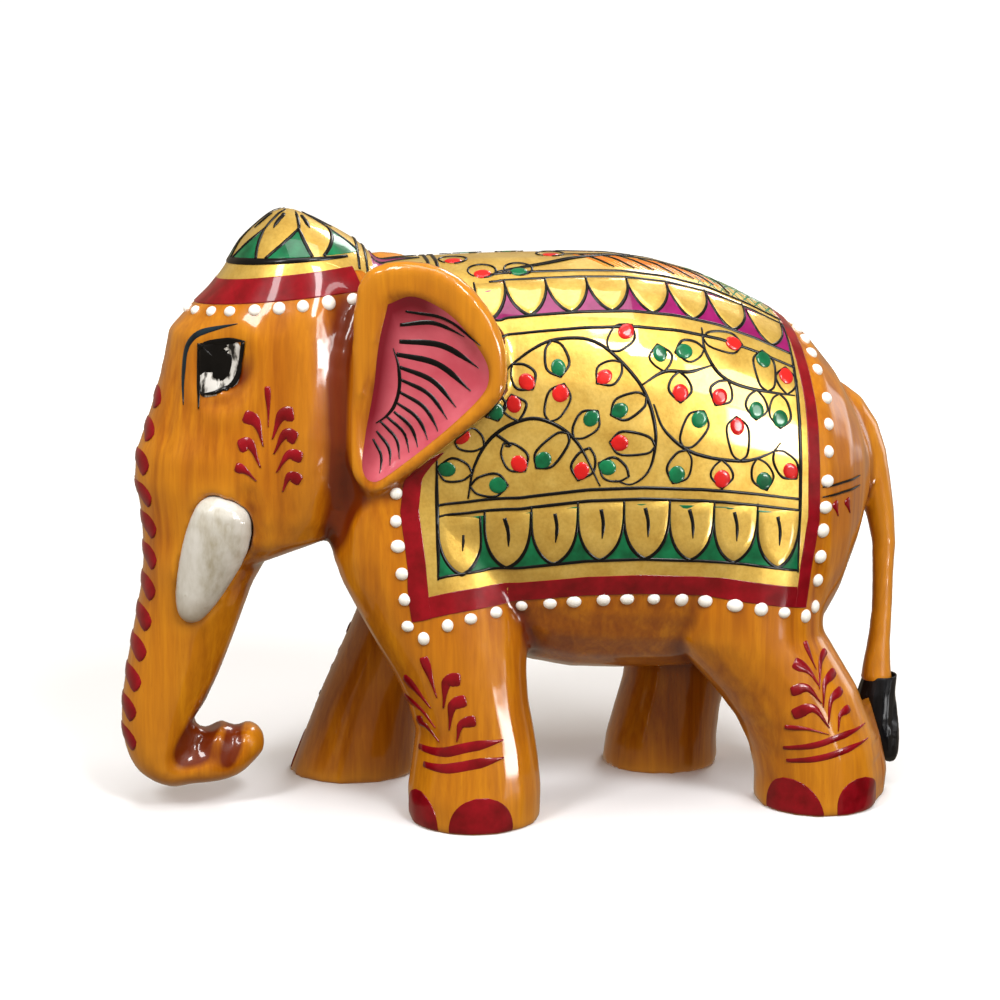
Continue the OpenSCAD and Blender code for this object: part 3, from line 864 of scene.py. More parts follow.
BROW = [(-54.8, 97.6), (-58.2, 96.7), (-61.6, 95.6), (-63.4, 94.1), (-64.4, 91.9), (-64.9, 88.4),
        (-65.1, 85.4), (-65.1, 81.8)]
TUFT_VOXEL = 0.28
TUFT_MIDDLE = vec(10.2, 77.5)
STRAND_DEPTH = 0.09


def block():
    made = make_object("carved_block", BODY, BODY_FACES, WOOD)
    # The wood's painted shade and painted light, from how hollow or ridged the surface is
    add_attribute(made, "painted_shading", painted_shading_of(BODY, BODY_FACES, BODY_EDGES))
    register(made, "lacquered_wood", "carved_body")


def tusks():
    """The tusks, with edges rounded by sanding, stained towards their tips."""
    for word in SIDES:
        points, faces, edges = remeshed("tusk_" + word, TUSK_VOXEL)
        made = make_object("carved_tusk_" + word, relax(points, edges, 14), faces, CREAM)
        add_attribute(made, "tip", np.clip((TUSK_STAIN_Z - points[:, 2]) / 8, 0, 1))
        register(made, "cream_paint", "tusk_" + word)


def flat_outline(skin, side, centre, outline):
    """A closed outline in side view, in millimetres across and up from its centre on the skin."""
    u, v = local_axes(skin, centre, UP)
    away = np.array(SKIN.seen_all(side, smooth_line(outline + outline[:1], 0.5))) - centre
    return np.stack([away @ u, away @ v], 1)


def eyes():
    """Low domes of white with a black iris and lines brushed on them."""
    for word, side in SIDES.items():
        centre = SKIN.seen(side, *EYE_CENTRE)
        white = Coat("painted_eye_" + word, EYE, "eye_paint", "eye_" + word)
        shape = flat_outline(SKIN, side, centre, EYE_WHITE)
        fill(white, centre, shape, COLOUR, UP, rings=(1, 0.95, 0.85, 0.7, 0.5, 0.25), crown=0.7)
        first = len(BODY)
        both = Skin(np.vstack([BODY, white.points]),
                    BODY_FACES + [tuple(first + i for i in f) for f in white.faces])
        white.make()
        black = Coat("eye_lines_" + word, BLACK, "black_lacquer")
        centre = both.seen(side, *IRIS_CENTRE)
        shape = flat_outline(both, side, centre, EYE_BLACK)
        fill(black, centre, shape, COLOUR, UP, both, rings=(1, 0.95, 0.8, 0.6, 0.4, 0.2))
        for width, line in EYE_LINES:
            places = both.seen_all(side, smooth_line(line, 0.5))
            brush(black, places, width, taper=(0.9, 0.3), skin=both)
        black.make()


def brows():
    coat = Coat("brows", BLUE_BLACK, "black_lacquer")
    for side in (LEFT, RIGHT):
        line = SKIN.seen_all(side, smooth_line(BROW, LINE_STEP))
        brush(coat, line, 1.25, lift=COLOUR, taper=(0.1, 0.1))
    coat.make()


def tuft():
    """A tuft of lacquered hair that narrows to its tip, grooved along its length."""
    points, faces, edges = remeshed("tail_tuft", TUFT_VOXEL)
    points = relax(points, edges, 10)
    down = (points[:, 2].max() - points[:, 2]) / np.ptp(points[:, 2])
    points[:, 1] -= np.interp(down, [0, 0.2, 0.5, 0.8, 1], [-0.8, 0, 1, 0.6, 0]) * (points[:, 1] < 77)
    around = np.arctan2(*(points[:, :2] - TUFT_MIDDLE).T)
    strands = np.abs(np.sin(around * 9 + 1.4 * np.sin(down * 5))) + 0.5 * np.abs(np.sin(around * 23))
    depth = STRAND_DEPTH * np.clip(down * 6, 0, 1) * np.clip((1 - down) * 8, 0, 1)
    points = points - normals_of(points, faces) * (strands * depth)[:, None]
    register(make_object("hair_tuft", points, faces, TUFT), "black_lacquer", "tail_tuft")


# ---------- the saddle cloth ----------

# The frame round the flank's panel, as y along the back
FRAME_FRONT = -18.7
FRAME_REAR = 50.6
# The crimson border's width along the cloth's lower, front and rear edges
BORDER = 4.0
FRONT_BORDER = 3.5
REAR_BORDER = 2.7
# The borders reach a little past the cloth's lower edge, and the gold ground stays inside it
BORDER_END = 1.003
GOLD_INSET = 0.6
GOLD_END = 0.985
# The lower petals: d of the line under them, of their tops, and of the line over them
BASE_LINE = 7.2
ROW_LOW = 18.7
ROW_HIGH = 21.2
# The upper petals, as shares of the way down from the spine: the strip's lower and upper line
TOP_ROW_LOW = 0.308
TOP_ROW_HIGH = 0.195
# The upper row would start at the first y, but the ear covers it as far as the second. The lines
# round the row start further back.
TOP_ROW_FRONT = -12.3
TOP_ROW_SEEN = -10.2
TOP_LINES_FRONT = -7.3
PETALS = 8
# The scrolling stems on the flank: y, and d up from the cloth's lower edge
STEMS = [
    [(-9, 41.5), (-7.3, 44.2), (-1.1, 48.5), (4.7, 50.2), (12.1, 48.5), (19.2, 40.6), (21.8, 32.3),
     (20.8, 25), (17.5, 22), (14.2, 22.8)],
    [(-13, 21.8), (-11.8, 28), (-8.5, 33), (-3, 35.8), (2, 34.8), (7, 30.5), (11.4, 21.8)],
    [(21.6, 37), (23.7, 32), (29.4, 28), (38.3, 27.2), (44.3, 29.3), (46.5, 31.5)],
    [(32.2, 52.5), (32.4, 47.5), (35.2, 43), (40.8, 41.2), (50, 41)],
    [(19.4, 40.4), (24, 43.2), (29, 43.4), (33.6, 45)]]
# Leaves: y and d of the bud at the leaf's round end
RED_BUDS = [(17.1, 50.8), (-2.1, 43), (12.7, 42.4), (-4.4, 38.6), (4.1, 39.6), (-13.8, 33.6),
            (15.3, 29.8), (-3.8, 27.9), (8, 25.2), (38, 50), (48.6, 44.5), (34.6, 39.2),
            (26.8, 39.6), (37.8, 33.4), (34.7, 23.8), (48.3, 26.6)]
GREEN_BUDS = [(4, 45), (-8.0, 38.0), (9.6, 34.4), (15.4, 36), (1, 28), (-16.6, 27.8),
              (13, 25.2), (-7.8, 23.8), (23.4, 46.4), (28.4, 47.4), (44.2, 47.2), (41.8, 37.4),
              (30.2, 34.2), (46.6, 36.4), (26, 24.2), (43, 24.2)]
# A leaf further from the stem than LEAF_FAR gets a stalk, and one nearer than LEAF_NEAR is turned
LEAF_FAR = 6.6
LEAF_NEAR = 3.0
LEAF_TURN = 38
# A leaf's root lies this far behind its bud's middle, on a stalk or turned, and its tip this far ahead
STALK_ROOT = 4.6
TURNED_ROOT = 4.2
LEAF_TIP = 2.2
LEAF_RINGS = (1, 0.85, 0.5)
# The raised dots in side view: y, z, and the distance between them
BEAD_PATH = [(-26.2, 66), (-26.4, 59), (-25.8, 53.5), (-25.2, 48), (-24.8, 42.5), (-23.4, 38),
             (-18.6, 40.6), (-13.6, 42.1), (-1.8, 43.6), (9.2, 44.7), (19.6, 45), (31.4, 44.3),
             (42.6, 42.8), (52, 40.6), (54.8, 39.4), (55.4, 47), (55.8, 56), (56.6, 67),
             (57.2, 76), (57.5, 82)]
BEAD_PITCH = 5.05
BEAD_RADIUS = 1.3
BEAD_HEIGHT = 0.95


def front_edge(v):
    return np.interp(abs(v), FRONT_SHARES, CLOTH_FRONT)


def rear_edge(v):
    return np.interp(abs(v), REAR_SHARES, CLOTH_REAR)


def gold_ground():
    coat = Coat("gold_ground", GOLD_LEAF, "gold_leaf", "saddle_gold")
    grid = []
    for v in np.concatenate([-np.linspace(1, 0.004, 80), np.linspace(0.004, 1, 80)]):
        line = np.linspace(front_edge(v) + GOLD_INSET, rear_edge(v) - GOLD_INSET, 80)
        grid.append([CHART.at(y, v * GOLD_END) for y in line])
    spread(coat, grid, GOLD)
    return coat


def crimson_border():
    """The band along the front, lower and rear edges of the cloth."""
    coat = Coat("crimson_border", CRIMSON, "crimson_lacquer", "saddle_border")
    for side in (LEFT, RIGHT):
        low = np.linspace(front_edge(1) + 3, rear_edge(1) - 2.2, 90)
        spread(coat, [[cloth(y, d, side) for y in low] for d in np.linspace(-0.2, BORDER, 6)], COLOUR)
        down = np.linspace(BORDER_SHARE, BORDER_END, 50)
        spread(coat, [[CHART.at(front_edge(v) + inner, v * side) for v in down]
                      for inner in np.linspace(0, FRONT_BORDER, 5)], COLOUR + 0.01)
    over = np.linspace(-BORDER_END, BORDER_END, 151)
    spread(coat, [[CHART.at(rear_edge(v) - inner, v) for v in over]
                  for inner in np.linspace(0, REAR_BORDER, 4)], COLOUR + 0.01)
    coat.make()


def petal_outline(width, height, point, count=14):
    """A petal that hangs from a flat top to a point; a higher point number makes it fuller."""
    t = np.sin(np.linspace(0, math.pi / 2, count))
    right = np.stack([width / 2 * (1 - t ** point) ** 0.72, height / 2 - t * height], 1)
    return np.vstack([right[::-1], (right * vec(-1, 1))[:-1]])


def petal_row(side, start, seen, top, bottom, point, gold, lines, colour):
    """Gold petals hanging over a coloured strip. The row starts at y start and is cut off ahead of
    y seen. top and bottom give d at y. A row that is seen from its start has a mark on each petal."""
    step = (FRAME_REAR - start) / PETALS
    grid = [[cloth(y, bottom(y) + f * (top(y) - bottom(y)), side)
             for y in np.linspace(seen, FRAME_REAR, 12 * PETALS)] for f in np.linspace(0, 0.96, 9)]
    spread(colour, grid, COLOUR)
    for i in range(PETALS):
        y = start + (i + 0.5) * step
        high, low = top(y), bottom(y)
        width, height = step * 0.99, (high - low) * 0.98
        middle = cloth(y, (high + low) / 2 + 0.1, side)
        up = cloth(y, high, side) - cloth(y, low, side)
        shape = petal_outline(width, height, point)
        edge = petal_outline(width * 1.02, height * 1.02, point)
        if y - width / 2 < seen:
            for outline in (shape, edge):
                outline[:, 0] = np.maximum(outline[:, 0] * side, seen - y) * side
        fill(gold, middle, shape, PETAL, up)
        u, v = local_axes(SKIN, middle, up)
        curve = smooth_line(edge[np.argsort(np.arctan2(edge[:, 0], -edge[:, 1]))], LINE_STEP)
        brush(lines, middle + curve[:, :1] * u + curve[:, 1:] * v, RANDOM.uniform(0.6, 0.8))
        if seen == start:
            slant = RANDOM.uniform(-0.5, 0.5)
            mark = [(y + slant - 0.3, high - 0.12 * height),
                    (y + slant * 0.5 + 0.3, high - 0.36 * height), (y + 0.3, high - 0.62 * height)]
            brush(lines, cloth_line(mark, side, 0.5), 0.8, taper=(1, 0.3))


def leaf(side, bud, stem_points, lines, colour):
    """Two curved lines from the stem round a coloured bud."""
    bud = vec(*bud)
    root = stem_points[np.linalg.norm(stem_points - bud, axis=1).argmin()]
    along = bud - root
    reach = np.linalg.norm(along)
    ahead = along / max(reach, 1e-6)
    if reach > LEAF_FAR:
        stalk = [root, (root + bud) / 2 + turned(along, 90) * 0.12, bud - ahead * 4]
        brush(lines, cloth_line(stalk, side), 0.6, taper=(1, 0.5))
        root = bud - ahead * STALK_ROOT
    elif reach < LEAF_NEAR:
        ahead = turned(ahead, LEAF_TURN)
        root = bud - ahead * TURNED_ROOT
    aside = turned(ahead, 90)
    tip = bud + ahead * LEAF_TIP
    for way in (1, -1):
        half = [root, root + ahead * 1.5 + aside * 1.6 * way, bud + aside * 2.15 * way, tip]
        brush(lines, cloth_line(half, side, 0.5), RANDOM.uniform(0.42, 0.55), taper=(0.9, 0.7))
    centre = cloth(*(bud + ahead * 0.35), side)
    up = cloth(*(bud + ahead), side) - centre
    shape = oval(3.0 * RANDOM.uniform(0.9, 1.1), 3.5)
    fill(colour, centre, shape, BUD, up, rings=LEAF_RINGS, crown=0.06)


def scrolls(side, lines, red, green):
    stems = [smooth_line(s, 0.8) for s in STEMS]
    for stem in stems:
        brush(lines, [cloth(y, d, side) for y, d in stem], 0.7, taper=(0.5, 0.4))
    for colour, buds in ((red, RED_BUDS), (green, GREEN_BUDS)):
        for bud in buds:
            leaf(side, bud, np.vstack(stems), lines, colour)


def frame_lines(side, lines):
    """The ruled lines round the panel and between its rows."""
    for y, share in ((FRAME_FRONT, BORDER_SHARE + 0.02), (FRAME_REAR, TOP_ROW_HIGH)):
        upright = np.linspace(BASE_LINE - 0.4, upper(share)(y), 60)
        brush(lines, [cloth(y, d, side) for d in upright], 0.75)
    lower = map(level_line, (BASE_LINE, ROW_LOW + 0.35, ROW_HIGH))
    higher = map(upper, (TOP_ROW_LOW, TOP_ROW_LOW + 0.042, TOP_ROW_HIGH, TOP_ROW_HIGH - 0.026))
    for start, heights in ((FRAME_FRONT, lower), (TOP_LINES_FRONT, higher)):
        for height in heights:
            brush(lines, row(start, FRAME_REAR, height, side), 0.65, taper=(0.8, 0.8))


def back_line(points, side, step=0.25):
    """A smooth line along the top of the back, from y and v."""
    return [CHART.at(y, v * side) for y, v in smooth_line(points, step)]


def back_panel(lines, red, green, orange):
    """Leaves, feathers and scales along the top of the back."""
    for y, v, colour in ((-13, 0.07, red), (-8.2, 0.15, red), (-1.2, 0.152, green), (-9, -0.03, green),
                         (6.5, 0.04, red), (-14, -0.1, green), (-6, -0.13, red), (0, -0.08, green)):
        low = CHART.at(y, v + math.copysign(0.014, v))
        fill(colour, low, oval(2.6, 3.4), BUD, vec(0, 1, 0), rings=LEAF_RINGS)
        ring = [CHART.at(y, v) + 2.7 * vec(math.cos(a), math.sin(a), 0)
                for a in np.linspace(0, 5.6, 22)]
        brush(lines, ring, 0.5, taper=(0.8, 0.4))
    for side in (LEFT, RIGHT):
        for shift in (0, 1.6):
            slant = [(-6 + shift, 0.165), (6 + shift, 0.115), (22 + shift, 0.02)]
            brush(lines, back_line(slant, side, 0.05)[::8], 0.6)
        for i in range(24):
            y = 11 + i
            barb = back_line([(y, 0.045), (y + 2.4, 0.092), (y + 5.6, 0.148 - 0.0006 * i)], side)
            if i % 4 == 1:
                brush(lines, barb, 0.4)
            else:
                brush(orange, barb, 0.8, lift=COLOUR)
        for fold in ((9, 0.05), (22, 0.034), (37, 0.052)), ((38.5, 0.055), (39.5, 0.10), (40.5, 0.15)):
            brush(lines, back_line(fold, side), 0.5)
    for way in (-1, 1):
        for start in np.arange(21, 60, 2.3):
            slant = [(start + way * v * 34, v) for v in np.linspace(-0.165, 0.165, 40)]
            places = [CHART.at(y, v + 0.0001) for y, v in slant if 34 < y < 50.4]
            if len(places) > 6:
                brush(green, places, 0.62, lift=COLOUR)


def beads():
    """Raised white dots along the cloth's front, lower and rear edges."""
    line = smooth_line(BEAD_PATH, 0.3)
    run = np.concatenate([[0], np.linalg.norm(np.diff(line, axis=0), axis=1).cumsum()])
    count = round(run[-1] / BEAD_PITCH)
    for word, side in SIDES.items():
        coat = Coat("saddle_beads_" + word, WHITE, "white_relief", "saddle_dots_" + word)
        for i in range(count + 1):
            shift = RANDOM.uniform(-0.07, 0.07) * (0 < i < count)
            y, z = (np.interp(run[-1] * (i + shift) / count, run, line[:, k]) for k in (0, 1))
            bead(coat, SKIN.seen(side, y, z), BEAD_RADIUS * RANDOM.uniform(0.88, 1.12), BEAD_HEIGHT)
        coat.make()
    rear = Coat("saddle_beads_rear", WHITE, "white_relief", "saddle_dots_rear")
    for v in np.linspace(-0.3, 0.3, 11):
        bead(rear, CHART.at(rear_edge(v) + 2.4, v + 0.0001), 1.25, 0.9, up=vec(0, 1, 0))
    rear.make()


def saddle():
    """The gold ground, the crimson border and all that is painted or dotted on them."""
    gold = gold_ground()
    crimson_border()
    lines = Coat("saddle_lines", BLACK, "black_lacquer")
    red, green = Coat("saddle_red", RED, "red_lacquer"), Coat("saddle_green", GREEN, "green_lacquer")
    magenta = Coat("saddle_magenta", MAGENTA, "magenta_lacquer")
    orange = Coat("back_feathers", ORANGE, "red_lacquer")
    for side in (LEFT, RIGHT):
        petal_row(side, FRAME_FRONT, FRAME_FRONT, level_line(ROW_LOW), level_line(BASE_LINE), 3.3,
                  gold, lines, green)
        petal_row(side, TOP_ROW_FRONT, TOP_ROW_SEEN, upper(TOP_ROW_HIGH), upper(TOP_ROW_LOW), 2.5,
                  gold, lines, magenta)
        frame_lines(side, lines)
        scrolls(side, lines, red, green)
    back_panel(lines, red, green, orange)
    for coat in (gold, lines, red, green, magenta, orange):
        coat.make()
    beads()


# ---------- the head ----------

# The cap's lower line starts at CAP_Z. Its triangles stand at these turns, with their points
# slanted and their bases this far to each side.
CAP_Z = 108.4
CROWN = vec(0, -43.5, 117.5)
CAP_TURNS = (-130, -83, -36, 0, 36, 83, 130)
CAP_SLANT = 13
CAP_HALF = 18.5
CAP_HALF_FRONT = 11
BAND_TURNS = np.linspace(-131, 131, 90)
BAND_WIDTH = 4.6
# The gold starts a little under the band's upper edge
GOLD_START = 4.2
# The gold on the nape: how far it reaches to each side, along y
NAPE_Y = [-38, -34, -31, -26, -20, -15.6]
NAPE_HALF = [14.2, 13.6, 11.4, 10, 10.5, 11]
# Its lines across, as y, and its triangles: x of each, y of their bases, and their length
NAPE_LINES = (-31.6, -30.0, -17.9, -16.3)
NAPE_TRIANGLES = (-7.2, -2.4, 2.4, 7.2)
TRIANGLE_Y = -28.8
TRIANGLE_LENGTH = 9.6


def cap_line(turn):
    """The cap's lower line."""
    return rising(CAP_Z, 1.4, turn)


def up_crown(turn, share):
    """A place between the cap's lower line (0) and the crown (1)."""
    low = head(turn, cap_line(turn))
    return SKIN.lay_one(low * (1 - share) + CROWN * share + vec(0, 0, 3 * share * (1 - share)))


def head_coats():
    """The cap of gold leaf with green triangles, and the crimson band under it."""
    gold = Coat("cap_gold", GOLD_LEAF, "gold_leaf", "head_cap")
    band = Coat("crimson_band", CRIMSON, "crimson_lacquer", "head_band")
    green = Coat("cap_green", GREEN, "green_lacquer")
    lines = Coat("cap_lines", BLACK, "black_lacquer")
    spread(band, [[head(a, band_z(a) + BAND_WIDTH * f) for a in BAND_TURNS]
                  for f in np.linspace(0, 1, 6)], COLOUR)
    low = [[head(a, band_z(a) + GOLD_START + (cap_line(a) - band_z(a) - GOLD_START) * f)
            for a in BAND_TURNS] for f in np.linspace(0, 1.1, 5)]
    spread(gold, low, GOLD)
    spread(gold, [[up_crown(a, f) for a in np.linspace(-180, 180, 121)]
                  for f in np.linspace(0, 0.97, 16)], GOLD)
    brush(lines, [head(a, cap_line(a)) for a in BAND_TURNS], 1.4)
    for a in CAP_TURNS:
        slope, wide = CAP_SLANT * np.sign(a), CAP_HALF if a else CAP_HALF_FRONT
        triangle = [[up_crown(a + slope * f + s * wide * (1 - f) ** 1.1, 0.03 + 0.42 * f)
                     for s in np.linspace(-1, 1, 13)] for f in np.linspace(0, 0.985, 14)]
        spread(green, triangle, COLOUR)
        for s in (-1, 1):
            edge = [up_crown(a + slope * f + s * (wide + 0.5) * (1 - f) ** 1.1, 0.03 + 0.43 * f)
                    for f in np.linspace(0, 1, 18)]
            brush(lines, edge, 0.75, taper=(0.9, 0.6))
        split = [up_crown(a + slope * (1 + 0.4 * f), 0.45 + 0.4 * f) for f in np.linspace(0, 1, 8)]
        brush(lines, split, 0.65, taper=(0.9, 0.2))
        mark = [up_crown(a + 23.5 + slope * 0.5 - 3 * f, 0.74 - 0.28 * f) for f in np.linspace(0, 1, 8)]
        brush(lines, mark, 0.95, taper=(0.8, 0.2))
    for coat in (gold, band, green, lines):
        coat.make()


def head_beads():
    """Raised white dots under the band, larger towards the rear."""
    coat = Coat("head_beads", WHITE, "white_relief", "head_dots")
    for a in np.linspace(-124, 124, 17):
        a += RANDOM.uniform(-1, 1)
        radius = 1.1 + 0.25 * abs(a) / 124
        bead(coat, head(a, band_z(a) - 1.2), radius * RANDOM.uniform(0.85, 1.1), 0.85)
    coat.make()


def from_above(x, y):
    """The place on the skin that a ray from above meets at x and y."""
    return np.array(SKIN.cast(vec(x, y, 140), vec(0, 0, -1)))


def across_nape(y, share=1.0):
    half = np.interp(y, NAPE_Y, NAPE_HALF)
    return [from_above(half * s * share, y) for s in np.linspace(-1, 1, 33)]


def nape():
    """The gold strip between the ears, with magenta triangles and double lines across it."""
    gold = Coat("nape_gold", GOLD_LEAF, "gold_leaf", "nape_strip")
    lines = Coat("nape_lines", BLACK, "black_lacquer")
    magenta = Coat("nape_magenta", MAGENTA, "magenta_lacquer")
    spread(gold, [across_nape(y) for y in np.linspace(NAPE_Y[0], NAPE_Y[-1], 36)], GOLD + 0.01)
    for y in NAPE_LINES:
        brush(lines, across_nape(y, 0.98), 0.75, taper=(0.8, 0.8))
    for x in NAPE_TRIANGLES:
        triangle = [[from_above(x + s * 2.2 * (1 - f), TRIANGLE_Y + TRIANGLE_LENGTH * f)
                     for s in np.linspace(-1, 1, 7)] for f in np.linspace(0, 0.97, 12)]
        spread(magenta, triangle, COLOUR)
        for s in (-1, 1):
            brush(lines, [from_above(x + s * 2.4 * (1 - f), TRIANGLE_Y + (TRIANGLE_LENGTH + 0.2) * f)
                          for f in np.linspace(0, 1, 14)], 0.5)
    for coat in (gold, lines, magenta):
        coat.make()


# The ear's face: its rim and middle, as the distance from its hinge and the height
EAR_DISH = [(7.4, 101.8), (12.5, 103.3), (19.5, 99.8), (25.0, 93.2), (26.4, 88.8), (24.6, 84.8),
            (17.5, 78), (9.8, 71.8), (4.6, 68.4), (2.3, 70.5), (2.6, 77), (4.3, 86), (5.7, 95)]
EAR_MIDDLE = vec(12.5, 87)
EAR_RINGS = (1, 0.96, 0.9, 0.8, 0.7, 0.6, 0.5, 0.4, 0.3, 0.2, 0.1)
# The brushed veins: width, and where each starts and ends
VEINS = [(0.75, (10.5, 100.5), (25.0, 94.7)), (0.9, (9.4, 97.9), (21.8, 96.2)),
         (1.15, (9.2, 94.8), (24.4, 90.3)), (1.15, (8.6, 92.4), (22.8, 85.9)),
         (0.95, (9.2, 90.0), (20.0, 82.8)), (0.8, (9.3, 87.7), (18.4, 80.5)),
         (0.75, (9.2, 85.3), (16.8, 78.2)), (0.7, (8.7, 83.2), (14.8, 76.6)),
         (0.7, (8.0, 81.6), (12.9, 75.1)), (0.65, (6.7, 80.6), (11.2, 74.0)),
         (0.6, (5.4, 79.8), (9.3, 72.7)), (0.6, (4.7, 77.9), (7.4, 71.4)),
         (0.55, (4.0, 76.4), (5.4, 69.9))]
EAR_FOLD = [(8.0, 93.6), (8.9, 90.5), (9.1, 86.5), (8.2, 83), (6.6, 80.8), (4.6, 79.4)]


def ear_lining(word, side):
    """The pink coat of an ear's face, with painted crimson shade along its upper front rim, as if under
    the raised rim.
    """
    coat = Coat("ear_lining_pink_" + word, PINK, "pink_lacquer", "ear_lining_" + word)
    rim = smooth_line(EAR_DISH + EAR_DISH[:1], 0.8)[:-1]
    # Painted shade along the upper front rim, strongest at the edge and gone halfway in
    painted_rim_shade = np.clip((rim[:, 1] - 80 + 2 * (10 - rim[:, 0])) / 14, 0, 1)
    points, share = [], []
    for ring in EAR_RINGS:
        flat = [ear(side, *p) for p in EAR_MIDDLE + (rim - EAR_MIDDLE) * ring]
        points.extend(SKIN.lay(np.array(flat), COLOUR - (EDGE if ring == 1 else 0)))
        share.extend(np.clip((ring - 0.45) / 0.45, 0, 1) * painted_rim_shade)
    points.append(SKIN.lay_one(ear(side, *EAR_MIDDLE), COLOUR))
    share.append(0)
    faces = disc_faces(len(EAR_RINGS), len(rim))
    a, b, c = (points[k] for k in faces[-1])
    coat.add(points, facing(faces, side * np.cross(b - a, c - a)[0] > 0))
    add_attribute(coat.make(), "rim", share)


def ear_veins(word, side):
    coat = Coat("ear_veins_" + word, BLACK, "black_lacquer")
    for width, start, end in VEINS:
        start, end = vec(*start), vec(*end)
        bow = turned(end - start, 90) * 0.11
        vein = smooth_line([start, (start + end) / 2 + bow, end], 0.6)
        brush(coat, [ear(side, *p) for p in vein], width, taper=(0.7, 0.15))
    brush(coat, [ear(side, *p) for p in smooth_line(EAR_FOLD, 0.6)], 0.7, taper=(0.2, 0.3))
    coat.make()


def ears():
    for word, side in SIDES.items():
        ear_lining(word, side)
        ear_veins(word, side)


# ---------- crimson sprays, bands and nails ----------

# Dabs in side view: width, then y and z from where the brush is set down to where it is lifted
CHEEK = [(1.2, [(-49.7, 86.2), (-49.6, 82), (-49.7, 78.6)]),
         (2.6, [(-54.1, 80.6), (-51.9, 79.4), (-50.7, 75.0)]),
         (2.6, [(-55.2, 74.7), (-53.1, 75.2), (-51.3, 71.0)]),
         (2.0, [(-55.9, 71.0), (-54.0, 70.2), (-52.1, 68.4)]),
         (2.8, [(-45.0, 81.2), (-47.3, 80.7), (-49.0, 76.4)]),
         (2.6, [(-44.6, 76.5), (-46.7, 77.3), (-48.8, 73.6)]),
         (2.3, [(-43.6, 73.0), (-46.1, 73.5), (-48.4, 70.1)]),
         (2.3, [(-43.9, 68.5), (-46.0, 69.4), (-47.3, 66.4)])]
# What each pair of legs carries, in side view on its left leg: dabs, and bands' lines and width
SPRAYS = {
    "front": [(1.9, [(-21.7, 35.0), (-20.4, 30.9), (-19.2, 27.0)]),
              (2.6, [(-24.9, 30.0), (-22.9, 28.0), (-20.2, 24.6)]),
              (2.0, [(-24.2, 25.2), (-21.9, 23.9), (-19.3, 20.6)]),
              (1.9, [(-23.2, 21.2), (-21.0, 20.6), (-18.6, 17.8)]),
              (2.7, [(-14.9, 30.7), (-17.4, 30.2), (-18.0, 25.0)]),
              (2.5, [(-13.8, 26.6), (-16.3, 25.6), (-16.9, 20.6)]),
              (2.3, [(-12.0, 22.6), (-14.7, 21.9), (-15.5, 18.4)])],
    "hind": [(1.3, [(52.6, 35.4), (53.6, 32.6), (54.8, 29.8)]),
             (2.4, [(49.9, 31.8), (53.1, 29.8), (55.3, 26.6)]),
             (2.2, [(49.4, 26.0), (52.7, 26.5), (55.8, 23.2)]),
             (2.5, [(50.0, 21.2), (54.0, 22.4), (57.4, 18.3)]),
             (1.1, [(48.8, 18.5), (52.9, 18.3), (57.3, 17.0)]),
             (1.6, [(57.7, 32.6), (56.0, 31.0), (55.3, 26.0)]),
             (2.0, [(59.4, 28.6), (56.7, 26.9), (56.1, 22.4)]),
             (1.9, [(60.6, 25.1), (57.9, 23.5), (57.2, 19.0)]),
             (1.8, [(62.2, 21.3), (59.9, 20.4), (59.3, 17.4)])]}
BANDS = {
    "front": [(2.0, [(-21.9, 15.6), (-17.8, 16.0), (-13.3, 17.4), (-6.6, 18.4)]),
              (2.0, [(-21.3, 12.7), (-17.6, 12.9), (-12.9, 14.0), (-6.6, 15.0)])],
    "hind": [(1.35, [(49.0, 13.9), (54.6, 14.9), (59.3, 16.2), (66.2, 17.4)]),
             (1.35, [(49.8, 11.2), (55.6, 12.2), (61.4, 13.6), (66.6, 14.6)])]}
# Nails: their turn round the leg, and width
NAILS = {"front": [(24, 5.0), (88, 6.5)], "hind": [(52, 6.4), (122, 6.0)]}
# A nail's height, its foot's height above the sole's plane, and the leg's radius there
NAIL_HEIGHT = 7.2
NAIL_FOOT = 0.35
LEG_RADIUS = 6.2
CRESCENT = [0.35, 0.85, 1.05, 1, 0.85, 0.6]
# How far the crescents reach to each side, by height up the trunk
TRUNK_Z = [14, 30, 50, 70, 86]
TRUNK_REACH = [5.8, 6.8, 7.4, 6.2, 3.0]


def trunk_front(x, z):
    hit = SKIN.cast(vec(x, -90, z), vec(0, 1, 0))
    return SKIN.lay_one(vec(x, -70, z)) if hit is None else np.array(hit)


def trunk_dabs(coat):
    """Crescents down the front of the trunk."""
    for z in np.arange(15.0, 86, 6.1):
        reach = np.interp(z, TRUNK_Z, TRUNK_REACH)
        for way in (LEFT, RIGHT):
            line = [trunk_front(reach * way, z - 1.6), trunk_front(0.65 * reach * way, z + 0.4),
                    trunk_front(-0.3 * way, z + 1.3)]
            dab(coat, line, 3.7, shape=CRESCENT)


def nails(name):
    """Toenails: half discs with rounded tops along the sole."""
    coat = Coat("nails_" + name, CRIMSON, "crimson_lacquer", "toenails_" + name)
    for turn, width in NAILS[name.split("_")[0]]:
        grid = []
        for f in np.linspace(0, 0.985, 11):
            half = math.degrees(width / 2 / LEG_RADIUS * math.sqrt(1 - f ** 2.2))
            grid.append([leg(name, turn + half * s, NAIL_FOOT + NAIL_HEIGHT * f)
                         for s in np.linspace(-1, 1, 17)])
        spread(coat, grid, COLOUR)
    coat.make()


